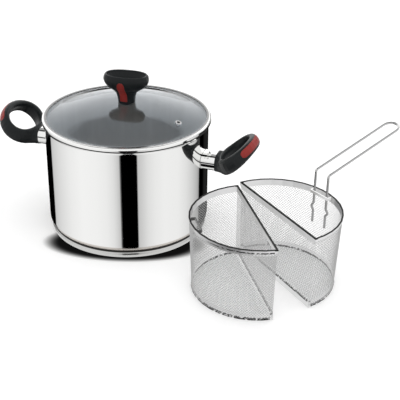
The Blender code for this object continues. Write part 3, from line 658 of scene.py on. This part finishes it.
rim_low = POT_HEIGHT + GAP
glass_low = rim_low + RIM_SHEET + GAP
glass_high = glass_low + GLASS_THICKNESS
rim_top = glass_high + GAP + RIM_SHEET
skirt = POT_RADIUS - POT_WALL - SKIRT_PLAY
web = RIM_RADIUS - RIM_SHEET
lip = RIM_RADIUS - RIM_LIP
slope = lip + RIM_SLOPE
rim_outline = [(skirt, rim_low - SKIRT_DEPTH), (skirt, rim_low), (RIM_RADIUS, rim_low),
               (RIM_RADIUS, rim_top), (slope, rim_top), (lip, glass_high + GAP * (1 + TIP_LIFT)),
               (lip, glass_high + GAP * TIP_LIFT), (slope, glass_high + GAP), (web, glass_high + GAP),
               (web, glass_low - GAP), (skirt - RIM_SHEET, glass_low - GAP),
               (skirt - RIM_SHEET, rim_low - SKIRT_DEPTH)]


def rim_finish():
    finish = Finish("rim_steel", Metallic=1.0)
    radius, height = from_axis(finish)
    lines = ring_lines(finish)
    # Painted reflection: dark on the inner slope. Painted shade: nearly black at the foot.
    crown = above(radius, slope + RIM_SLOPE / 2, RIM_SLOPE)
    foot = 1 - above(height, rim_low + RIM_FOOT, MASK_BLUR)
    bright = finish.blend(crown, SLOPE_REFLECTION_TONE, CROWN_TONE)
    finish.feed(Roughness=between(RIM_ROUGH, lines), Base_Color=finish.blend(foot, bright, PAINTED_DARK_TONE),
                Normal=finish.bump(lines, RING_STRENGTH))
    return finish


rim_mesh = turned(rim_outline, ((3, RIM_FOLD, OUTER_STEPS), (8, RIM_FOLD - RIM_SHEET, INNER_STEPS),
                                (2, RIM_FOOT, FOOT_STEPS)))
print("rim faces", len(rim_mesh.faces), "from", round(rim_low, 5), "up to", round(rim_top, 5))
add_piece(rim_mesh, "lid_band", rim_finish(), "lid", ["lid_rim"])

# %% [markdown]
# The glass is a low dome with a flat edge, and a hole for the knob's screw and one for the vent.
# A squashed sphere would have no flat edge, so the dome comes from a formula for its height.
# A line from the screw hole to the edge is divided, spun, lifted to that height and extruded down.

# %% Lid glass
GLASS_RISE = 0.0210
GLASS_FLAT = 0.0090
GLASS_HOLE = 0.0040
GLASS_PAD = 0.0130
GLASS_CURVE = 1.25
GLASS_RINGS = 44
GLASS_ROUND = 1.5 * RIM_SHEET
ROUND_STEPS = 3

glass_edge = web - GAP


def dome_height(radius):
    dome = glass_edge - GLASS_FLAT
    share = min(max(radius - GLASS_PAD, 0.0) / (dome - GLASS_PAD), 1.0)
    return GLASS_RISE * (1.0 - share ** 2) ** GLASS_CURVE


def glass_mesh():
    mesh = bmesh.new()
    line = mesh.edges.new([mesh.verts.new((radius, 0.0, glass_high)) for radius in (GLASS_HOLE, glass_edge)])
    bmesh.ops.subdivide_edges(mesh, edges=[line], cuts=GLASS_RINGS)
    spin_round(mesh, mesh.verts[:] + mesh.edges[:])
    for vert in mesh.verts:
        vert.co.z += dome_height(math.hypot(vert.co.x, vert.co.y))
    lower = bmesh.ops.extrude_face_region(mesh, geom=mesh.faces[:], use_keep_orig=True)["geom"]
    bmesh.ops.translate(mesh, vec=(0.0, 0.0, -GLASS_THICKNESS), verts=only(BMVert, lower))
    round_ring(mesh, (glass_edge, glass_high), GLASS_ROUND, ROUND_STEPS)
    bmesh.ops.recalc_face_normals(mesh, faces=mesh.faces)
    return mesh


dome_mesh = glass_mesh()
print("glass faces before the vent", len(dome_mesh.faces))

# %% [markdown]
# The vent is a small eyelet that stands square to the sloping glass, so its hole is tilted too.
# The hole is cut last, by a boolean with a short rod, because a spin can't make a hole off its axis.
# The result is read back as a mesh, so no live modifier stays on the pane.

# %% Vent hole
VENT_PLACE = 0.0887
VENT_ANGLE = math.radians(-28.7)
VENT_RADIUS = 0.0032
VENT_STEPS = 32
SLOPE_REACH = 0.0003


def vent_tool():
    """A rod through the glass where the vent is, square to it."""
    climb = dome_height(VENT_PLACE + SLOPE_REACH) - dome_height(VENT_PLACE - SLOPE_REACH)
    middle = glass_high + dome_height(VENT_PLACE) - GLASS_THICKNESS / 2
    mesh = bmesh.new()
    bmesh.ops.create_cone(mesh, cap_ends=True, segments=VENT_STEPS, radius1=VENT_RADIUS + GAP,
                          radius2=VENT_RADIUS + GAP, depth=2 * GLASS_THICKNESS)
    mesh.transform(Matrix.Rotation(VENT_ANGLE, 4, "Z") @ Matrix.Translation((VENT_PLACE, 0.0, middle))
                   @ Matrix.Rotation(math.atan(-climb / (2 * SLOPE_REACH)), 4, "Y"))
    return mesh


def cut_from(mesh, tool_mesh):
    """The first shape less the second, as a new mesh."""
    made = []
    for part in (mesh, tool_mesh):
        data = bpy.data.meshes.new("part")
        part.to_mesh(data)
        part.free()
        made.append(bpy.data.objects.new("part", data))
        scene.collection.objects.link(made[-1])
    cut = made[0].modifiers.new("Cut", "BOOLEAN")
    cut.operation = "DIFFERENCE"
    cut.solver = "EXACT"
    cut.object = made[1]
    result = bmesh.new()
    result.from_object(made[0], bpy.context.evaluated_depsgraph_get())
    for item in made:
        bpy.data.objects.remove(item, do_unlink=True)
    return result


pane = cut_from(dome_mesh, vent_tool())
print("glass faces with the vent", len(pane.faces))
add_piece(pane, "lid_pane", glass, "lid", ["lid_glass"])

# %% [markdown]
# Each basket is edged with folded strips of steel, which also hold its cloth.
# A rim strip has a painted dark reflection along its top, of a dark ceiling.
# Where the cloth's first holes meet a strip they lie in shade, so its edge has dashes of painted shade: all
# round the base strips, and on the left basket's rim by the front corner.
# Modelled holes in shade would be under a pixel wide, so these lines are masks on height and place.

# %% Basket strips
BASKET_HEIGHT = 0.1100
BAND_DEPTH = 0.0023
BAND_TOP = 0.0008
BAND_HEIGHT = 0.0095
ROUND_RIM_HEIGHT = 0.0050
ROUND_BASE_HEIGHT = 0.0022
FLAT_EXTRA = 0.0009
STRIP_TONES = (grey(0.90), grey(0.66))
STRIP_PAINTED_DARK = grey(0.012)
STRIP_ROUGH = (0.34, 0.44)
STRIP_CLOUD = 22.0
DASH_SCALE = 330.0
DASH_WIDTH = 0.0030
DASH_BLUR = 0.08
RIM_DASHES = {"left": 0.55, "right": 0.0}
BASE_DASHES = 0.62
CORNER_REACH = 0.050
CORNER_BLUR = 0.02
SPOTS = {"left": ((0.1925, -0.1775, 0.0), math.radians(196.3)),
         "right": ((0.2184, -0.1570, 0.0), math.radians(31.9))}


def from_middle(finish, side, angle):
    """Distance from the middle of a basket's flat wall, in a direction of the basket's own plan."""
    spot, turn = SPOTS[side]
    moved = finish.vectors("SUBTRACT", finish.place(), spot)
    return finish.vectors("DOT_PRODUCT", moved, (math.cos(turn + angle), math.sin(turn + angle), 0.0))


def on_flat_wall(finish, side):
    """1 on a basket's flat wall, 0 on its round one."""
    return 1 - above(from_middle(finish, side, 0.0), 2 * BAND_DEPTH, MASK_BLUR)


def near_corner(finish, side):
    """1 by a basket's front corner, 0 elsewhere."""
    return above(from_middle(finish, side, math.pi / 2), CORNER_REACH, CORNER_BLUR)


def strip_finish(side, is_rim):
    """Folded strip: painted shade dashes along its edge over the cloth, and on a rim a painted dark
    reflection at the top.
    """
    finish = Finish(f"rim_strip_{side}" if is_rim else f"base_strip_{side}", Metallic=1.0)
    where = finish.place()
    height = finish.height(where)
    cloud = finish.noise(where, STRIP_CLOUD)
    shade_dash_noise = finish.noise(where, DASH_SCALE, detail=0.0)
    flat = on_flat_wall(finish, side)
    if is_rim:
        edges = (BASKET_HEIGHT - ROUND_RIM_HEIGHT, BASKET_HEIGHT - BAND_HEIGHT)
        share = RIM_DASHES[side]
    else:
        edges = (ROUND_BASE_HEIGHT, BAND_HEIGHT)
        share = BASE_DASHES
    # Painted shade: dashes along the strip's edge over the cloth.
    near = band(height - between(edges, flat), 0.0, DASH_WIDTH)
    dark = near * above(shade_dash_noise, 1 - share, DASH_BLUR)
    if is_rim:
        # Painted reflection: a dark line along the top of a rim strip.
        top = above(height + flat * FLAT_EXTRA, BASKET_HEIGHT - BAND_TOP, MASK_BLUR / 4)
        dark = (dark * near_corner(finish, side) + top).clamp()
    finish.feed(Roughness=between(STRIP_ROUGH, cloud),
                Base_Color=finish.blend(dark, finish.blend(cloud, *STRIP_TONES), STRIP_PAINTED_DARK))
    return finish


for side in SPOTS:
    dress(strip_finish(side, is_rim=True), f"rim_band_{side}")
    dress(strip_finish(side, is_rim=False), f"base_band_{side}")
print("basket strips dressed")

# %% [markdown]
# The wires and staples are bright drawn steel, a little duller than the pot.
# The wire handle has painted shade low down, where it stands inside the basket, and is lighter on its arms.
# The left staple's near black is painted shade; each staple gets its own tone of one finish, which is simpler
# than lighting them apart.
# Each of these gets its own tone of one finish, which is simpler than lighting them apart.

# %% Wires and staples
WIRE_TONES = (grey(0.34), grey(0.56))
WIRE_ROUGH = (0.10, 0.20)
WIRE_MARKS = 300.0
ARMS_HEIGHT = 0.135
ARMS_BLUR = 0.02
# The left staple's near-black tone is painted shade.
STAPLE_TONES = {"left": grey(0.09), "right": grey(0.78)}
MESH_TONE = grey(0.45)
# The floor cloth's darker tone is painted shade, as it lies under the walls.
SHADED_FLOOR_MESH_TONE = (0.41, 0.42, 0.42)
CLOTH_ROUGH = (0.26, 0.36)


def wire_finish():
    finish = Finish("wire_steel", Metallic=1.0)
    where = finish.place()
    # Painted shade: the legs inside the basket are darker than the arms.
    arms = above(finish.height(where), ARMS_HEIGHT, ARMS_BLUR)
    finish.feed(Roughness=between(WIRE_ROUGH, finish.noise(where, WIRE_MARKS)),
                Base_Color=finish.blend(arms, *WIRE_TONES))
    return finish


mesh_steel = polished_steel("mesh_steel", MESH_TONE, CLOTH_ROUGH)
floor_steel = polished_steel("floor_steel", SHADED_FLOOR_MESH_TONE, CLOTH_ROUGH)
for side, tone in STAPLE_TONES.items():
    dress(polished_steel(f"staple_steel_{side}", tone, WIRE_ROUGH), f"staple_{side}")
dress(wire_finish(), "wire_handle")
print("staples and handle dressed")

# %% [markdown]
# Each basket's walls and floor are woven from bright wire of under half a millimetre, laid on the slant.
# A picture on a flat sheet would look right only from afar, so the wires are real here.
# One wire is a four-sided tube, extruded a crossing at a time, that waves over and under the wires it meets.

# %% One crimped wire
WEAVE_PITCH = 0.0029
WEAVE_HALF = 0.00022
WEAVE_WAVE = 0.00017
TRIAL_CROSSINGS = 10


def crimped_wire(mesh, crossings):
    """A wire along X through the middle, waving once for every two crossings."""
    bmesh.ops.create_circle(mesh, cap_ends=False, segments=4, radius=WEAVE_HALF)
    bmesh.ops.rotate(mesh, verts=mesh.verts, matrix=Matrix.Rotation(math.pi / 2, 3, "Y"))
    bmesh.ops.translate(mesh, vec=(-crossings * WEAVE_PITCH / 2, 0.0, 0.0), verts=mesh.verts)
    edges = mesh.edges[:]
    for step in range(crossings):
        made = bmesh.ops.extrude_edge_only(mesh, edges=edges)["geom"]
        points = only(BMVert, made)
        bmesh.ops.translate(mesh, vec=(WEAVE_PITCH, 0.0, 0.0), verts=points)
        fresh = set(points)
        edges = [edge for edge in only(BMEdge, made) if fresh.issuperset(edge.verts)]
    for vert in mesh.verts:
        vert.co.z += WEAVE_WAVE * math.cos(math.pi * vert.co.x / WEAVE_PITCH)


trial = bmesh.new()
crimped_wire(trial, TRIAL_CROSSINGS)
print("one wire of", TRIAL_CROSSINGS, "crossings has", len(trial.faces), "faces")
trial.free()

# %% [markdown]
# Copies of that wire, each a pitch further on and half a wave along, make one set of wires.
# The other set is a copy of the first, turned a quarter and flipped, so that every crossing alternates.
# The cloth is then turned to 45 degrees and cut to size with planes, as shears would.

# %% Woven sheet


def everything(mesh):
    return mesh.verts[:] + mesh.edges[:] + mesh.faces[:]


def woven_square(reach):
    """A square of cloth on the slant that covers a reach each way from the middle."""
    mesh = bmesh.new()
    count = 2 * int(reach / WEAVE_PITCH / 2) + 2
    crimped_wire(mesh, count)
    first = everything(mesh)
    for row in range(1, count + 1):
        copy = bmesh.ops.duplicate(mesh, geom=first)["geom"]
        bmesh.ops.translate(mesh, vec=(WEAVE_PITCH * (row % 2), WEAVE_PITCH * row, 0.0),
                            verts=only(BMVert, copy))
    bmesh.ops.translate(mesh, vec=(-WEAVE_PITCH / 2, -WEAVE_PITCH * count / 2, 0.0), verts=mesh.verts)
    copy = bmesh.ops.duplicate(mesh, geom=everything(mesh))["geom"]
    points = only(BMVert, copy)
    bmesh.ops.translate(mesh, vec=(WEAVE_PITCH / 2, 0.0, 0.0), verts=mesh.verts)
    bmesh.ops.rotate(mesh, verts=points, matrix=Matrix.Rotation(math.pi / 2, 3, "Z"))
    bmesh.ops.scale(mesh, vec=(1.0, 1.0, -1.0), verts=points)
    bmesh.ops.reverse_faces(mesh, faces=only(BMFace, copy))
    bmesh.ops.rotate(mesh, verts=mesh.verts, matrix=Matrix.Rotation(math.pi / 4, 3, "Z"))
    return mesh


def trim(mesh, sides):
    """Cut away what lies beyond each (point, outward direction), and close the cut wires."""
    for point, outward in sides:
        bmesh.ops.bisect_plane(mesh, geom=everything(mesh), plane_co=point, plane_no=outward,
                               clear_outer=True)
    cut = [edge for edge in mesh.edges if edge.is_boundary]
    bmesh.ops.holes_fill(mesh, edges=cut, sides=8)


def woven_sheet(width, height):
    """A rectangle of cloth in the XY plane, centred on X, from 0 up in Y."""
    mesh = woven_square((width + height) / math.sqrt(2))
    bmesh.ops.translate(mesh, vec=(0.0, height / 2, 0.0), verts=mesh.verts)
    trim(mesh, [((width / 2, 0, 0), (1, 0, 0)), ((-width / 2, 0, 0), (-1, 0, 0)),
                ((0, height, 0), (0, 1, 0)), ((0, 0, 0), (0, -1, 0))])
    return mesh


print("cloth has a wire every", WEAVE_PITCH, "m")

# %% [markdown]
# A half basket is a little narrower at its foot, so its round wall is part of a cone.
# The cloth is bent by giving every point its place on that cone: sideways becomes an angle.
# A bend modifier could do it too, but not to a cone, and the cloth would miss the strips.
# The sizes repeat the frame's own, and each wall lies in the middle of the band's fold.

# %% Basket walls
BASKET_RADIUS = 0.0924
BASKET_TAPER = 0.0043
CLOTH_INSET = 0.00115
CLOTH_LOW = 0.0008
FLOOR_LEVEL = 0.00115
FLOOR_HOLD = 0.0010


def wall_radius(height):
    return BASKET_RADIUS - BASKET_TAPER * (1.0 - height / BASKET_HEIGHT)


cloth_height = BASKET_HEIGHT - 2 * CLOTH_LOW
cloth_reach = wall_radius(BASKET_HEIGHT / 2) - CLOTH_INSET


def round_cloth():
    mesh = woven_sheet(math.pi * cloth_reach, cloth_height)
    for vert in mesh.verts:
        height = CLOTH_LOW + vert.co.y
        radius = wall_radius(height) - CLOTH_INSET + vert.co.z
        end = math.acos(CLOTH_INSET / radius)
        angle = vert.co.x / (math.pi * cloth_reach / 2) * end
        vert.co = (radius * math.cos(angle), radius * math.sin(angle), height)
    return mesh


def flat_cloth():
    mesh = woven_sheet(2 * cloth_reach, cloth_height)
    for vert in mesh.verts:
        height = CLOTH_LOW + vert.co.y
        share = vert.co.x / cloth_reach
        vert.co = (CLOTH_INSET + vert.co.z, share * (wall_radius(height) - CLOTH_INSET), height)
    return mesh


def floor_cloth():
    edge = BAND_DEPTH - FLOOR_HOLD
    radius = wall_radius(0.0) - edge
    mesh = woven_square(2 * radius)
    outside = [vert for vert in mesh.verts if vert.co.x < edge or vert.co.length > radius]
    bmesh.ops.delete(mesh, geom=outside, context="VERTS")
    trim(mesh, [])
    bmesh.ops.translate(mesh, vec=(0.0, 0.0, FLOOR_LEVEL), verts=mesh.verts)
    return mesh


def cloth_pair(mesh, kind, finish):
    """The same cloth in both baskets, each at its place."""
    for side, (spot, turn) in SPOTS.items():
        copy = mesh.copy()
        copy.transform(Matrix.Translation(spot) @ Matrix.Rotation(turn, 4, "Z"))
        add_piece(copy, f"{kind}_weave_{side}", finish, f"basket_{side}",
                  [f"{kind}_mesh_{side}"], smooth=False)
    print(kind, "cloth has", len(mesh.faces), "faces")
    mesh.free()


cloth_pair(round_cloth(), "round", mesh_steel)
cloth_pair(flat_cloth(), "flat", mesh_steel)
cloth_pair(floor_cloth(), "floor", floor_steel)

# %% [markdown]
# In the photograph the pot's wall mirrors neither the baskets nor their handle.
# A switch on each of their pieces keeps them out of mirrors, and changes nothing else.

# %% Out of mirrors
BASKET_PIECES = ("rim_band", "base_band", "staple", "wire")

for piece in scene.objects:
    if piece.name.startswith(BASKET_PIECES) or "_weave_" in piece.name:
        piece.visible_glossy = False
        print(piece.name, "is kept out of mirrors")

# %% [markdown]
# The floor is one large pale sheet.
# To the camera it glows a little, so that it comes out white and still keeps the shadows.
# Far from the object it glows fully, so that it ends in plain white from any side.
# To mirrors it is an even white, as a sheet under studio lamps is.
# Round the pot's foot the paper darkens in a soft oval, the close shadow that the photograph has there.

# %% Floor
FLOOR_SIZE = 40.0
FLOOR_DROP = 0.0003
FLOOR_TONE = grey(0.86)
FLOOR_ROUGH = 0.9
FLOOR_GLOW = 0.24
FAR_GLOW = 1.0
FAR_FLOOR = (0.8, 2.2)
FLOOR_MIRROR = 0.97
SHADE_SIZE = (0.113, 0.0498)
SHADE_PLACE = (0.001, -0.075)
SHADE_EDGES = (0.86, 1.13)
SHADE_DARK = 0.08
SHADE_POWER = 2.0
BLACK, WHITE = grey(0.0), grey(1.0)


def add_stage(mesh, name, finish):
    made = as_object(mesh, name, finish)
    return made


def close_shade(finish):
    """1 away from the pot, falling to dark in an oval round its foot."""
    moved = finish.vectors("SUBTRACT", finish.place(), (*SHADE_PLACE, 0.0))
    oval = finish.vectors("DIVIDE", moved, (*SHADE_SIZE, 1.0))
    reach = finish.vectors("LENGTH", oval)
    return finish.smooth_step(reach, SHADE_EDGES, (SHADE_DARK, 1.0)) ** SHADE_POWER


def lay_floor():
    paper = Finish("paper", Roughness=FLOOR_ROUGH, Specular_IOR_Level=0.0, Emission_Strength=1.0)
    shade = close_shade(paper)
    direct = paper.node("ShaderNodeLightPath", output="Is Camera Ray")
    reach = paper.vectors("LENGTH", paper.place())
    glow = paper.smooth_step(reach, FAR_FLOOR, (FLOOR_GLOW, FAR_GLOW))
    paper.feed(Base_Color=paper.blend(shade, BLACK, FLOOR_TONE),
               Emission_Color=paper.blend(shade * direct * glow, BLACK, WHITE))
    mirrored = paper.node("ShaderNodeLightPath", output="Is Glossy Ray")
    paper.swap_shader(mirrored, paper.node("ShaderNodeEmission", {}, {"Strength": FLOOR_MIRROR}))
    mesh = bmesh.new()
    bmesh.ops.create_grid(mesh, x_segments=1, y_segments=1, size=FLOOR_SIZE / 2)
    bmesh.ops.translate(mesh, vec=(0.0, 0.0, -FLOOR_DROP), verts=mesh.verts)
    return add_stage(mesh, "floor", paper)


lay_floor()
print("floor laid,", FLOOR_SIZE, "m square")

# %% [markdown]
# The pot's upright wall mirrors the floor in front of it, so its tones and three dark bands lie there.
# A sheet that only mirrors see carries them.
# Each of its points lies where one point of the wall looks, by the mirror law.
# The sheet starts as a grid, whose columns are the wall's directions and whose rows are its heights.
# A ramp along the columns then gives the tones, darker at both sides and in a narrow middle band.

# %% Sheet for the wall
WALL_SWEEP = math.radians(89)
WALL_LOW = 0.003
WALL_HIGH = 0.192
WALL_COLUMNS = 120
WALL_ROWS = 10
SHEET_LEVEL = 0.0010
WALL_TONES = ((-65.8, 0.0), (-65.2, 0.60), (-56, 0.75), (-44, 0.90), (-34, 0.965), (-23, 0.945),
              (-15.5, 0.90), (-10.8, 0.81), (-8, 0.69), (-5.8, 0.54), (-5.5, 0.0), (5.8, 0.0), (6.1, 0.58),
              (13, 0.80), (18, 0.88), (25, 0.93), (36, 0.91), (43.5, 0.81), (49, 0.69), (55, 0.53),
              (58.6, 0.37), (59.2, 0.0), (65, 0.0), (69, 0.016))
OTHER_RAYS = ("visible_camera", "visible_diffuse", "visible_shadow", "visible_transmission",
              "visible_volume_scatter")


def mirror_only(card):
    for switch in OTHER_RAYS:
        setattr(card, switch, False)


def wall_tones():
    """Tones are (angle from the middle of the wall, grey) pairs, set out along the sheet's columns."""
    finish = Finish("wall_tones", Base_Color=(*BLACK, 1.0), Specular_IOR_Level=0.0, Emission_Strength=1.0)
    across = finish.node("ShaderNodeSeparateXYZ", {}, {0: finish.node("ShaderNodeUVMap")})
    stops = [(math.radians(angle) / (2 * WALL_SWEEP) + 0.5, tone) for angle, tone in WALL_TONES]
    finish.feed(Emission_Color=finish.node("ShaderNodeValToRGB", {"stops": stops}, {0: across}))
    return finish


def wall_sheet():
    mesh = bmesh.new()
    mesh.loops.layers.uv.new("UVMap")
    bmesh.ops.create_grid(mesh, x_segments=WALL_COLUMNS, y_segments=WALL_ROWS, size=1.0, calc_uvs=True)
    eye = camera.matrix_world.translation
    middle = math.atan2(eye.x, -eye.y)
    for vert in mesh.verts:
        angle = middle + vert.co.x * WALL_SWEEP
        height = WALL_LOW + (WALL_HIGH - WALL_LOW) * (vert.co.y + 1) / 2
        outward = Vector((math.sin(angle), -math.cos(angle), 0.0))
        place = outward * POT_RADIUS + Vector((0.0, 0.0, height))
        ray = (place - eye).reflect(outward)
        vert.co = place + ray * ((height - SHEET_LEVEL) / -ray.z)
    mirror_only(add_stage(mesh, "wall_sheet", wall_tones()))


wall_sheet()
print("sheet laid for the wall, with", len(WALL_TONES), "tones")

# %% [markdown]
# A photographer shapes polished steel and glass with cards, which show only as tones in them.
# A grey one hangs high behind and sets the tone of the near glass.
# A black one right above darkens the rims' upper edges.
# A bright one stands far behind like a window and lights the far glass.
# A black one in front of it keeps that light off the far right.

# %% Cards
CARDS = {
    "card_behind": (0.40, [(-1.3, 0.12, 2.35), (1.3, 0.12, 2.35), (1.3, 2.2, 2.35), (-1.3, 2.2, 2.35)]),
    "card_above": (0.0, [(-1.2, -0.35, 2.34), (1.2, -0.35, 2.34), (1.2, 0.12, 2.34), (-1.2, 0.12, 2.34)]),
    "card_window": (1.55, [(-2.5, 2.4, 0.35), (2.5, 2.4, 0.35), (2.5, 2.4, 2.34), (-2.5, 2.4, 2.34)]),
    "card_right": (0.0, [(0.65, 2.38, 0.0), (2.5, 2.38, 0.0), (2.5, 2.38, 0.85), (0.65, 2.38, 0.85)]),
}


def hang_cards():
    for name, (level, corners) in CARDS.items():
        face = Finish(name, Base_Color=(*BLACK, 1.0), Specular_IOR_Level=0.0,
                      Emission_Color=(*WHITE, 1.0), Emission_Strength=level)
        mesh = bmesh.new()
        mesh.faces.new([mesh.verts.new(corner) for corner in corners])
        mirror_only(add_stage(mesh, name, face))


hang_cards()
print("cards", ", ".join(CARDS))

# %% [markdown]
# Soft light comes from a white room and one broad lamp overhead.
# The room is plain white to the camera, in mirrors and through glass, and dimmer as a light.
# The lamp is kept out of mirrors and glass, where its own shape would show as a bright patch.

# %% Light
ROOM_LEVEL = 0.62
LAMP_PLACE = (0.30, 0.10, 2.3)
LAMP_AIM = (0.1, 0.0, 0.1)
LAMP_SIZE = 2.6
LAMP_POWER = 34.0


def add_room():
    world = bpy.data.worlds.new("room")
    scene.world = world
    world.use_nodes = True
    tree = world.node_tree
    rays = [tree.nodes.new("ShaderNodeLightPath").outputs[name]
            for name in ("Is Camera Ray", "Is Glossy Ray", "Is Transmission Ray")]
    total = rays[0]
    for ray in rays[1:]:
        most = tree.nodes.new("ShaderNodeMath")
        most.operation = "MAXIMUM"
        tree.links.new(total, most.inputs[0])
        tree.links.new(ray, most.inputs[1])
        total = most.outputs[0]
    level = tree.nodes.new("ShaderNodeMapRange")
    tree.links.new(total, level.inputs["Value"])
    level.inputs["To Min"].default_value = ROOM_LEVEL
    level.inputs["To Max"].default_value = 1.0
    tree.links.new(level.outputs[0], tree.nodes["Background"].inputs["Strength"])
    tree.nodes["Background"].inputs["Color"].default_value = (*WHITE, 1.0)


def add_lamp():
    data = bpy.data.lights.new("broad_lamp", "AREA")
    data.shape = "RECTANGLE"
    data.size = data.size_y = LAMP_SIZE
    data.energy = LAMP_POWER
    made = bpy.data.objects.new("broad_lamp", data)
    scene.collection.objects.link(made)
    way = Vector(LAMP_PLACE) - Vector(LAMP_AIM)
    made.matrix_world = Matrix.Translation(LAMP_PLACE) @ way.to_track_quat("Z", "Y").to_matrix().to_4x4()
    made.visible_glossy = False
    made.visible_transmission = False


add_room()
add_lamp()
print("room at", ROOM_LEVEL, "and a lamp of", LAMP_POWER, "W")

# %% [markdown]
# The camera's picture keeps plain colours, with no filmic curve.

# %% Finish
scene.view_settings.view_transform = "Standard"
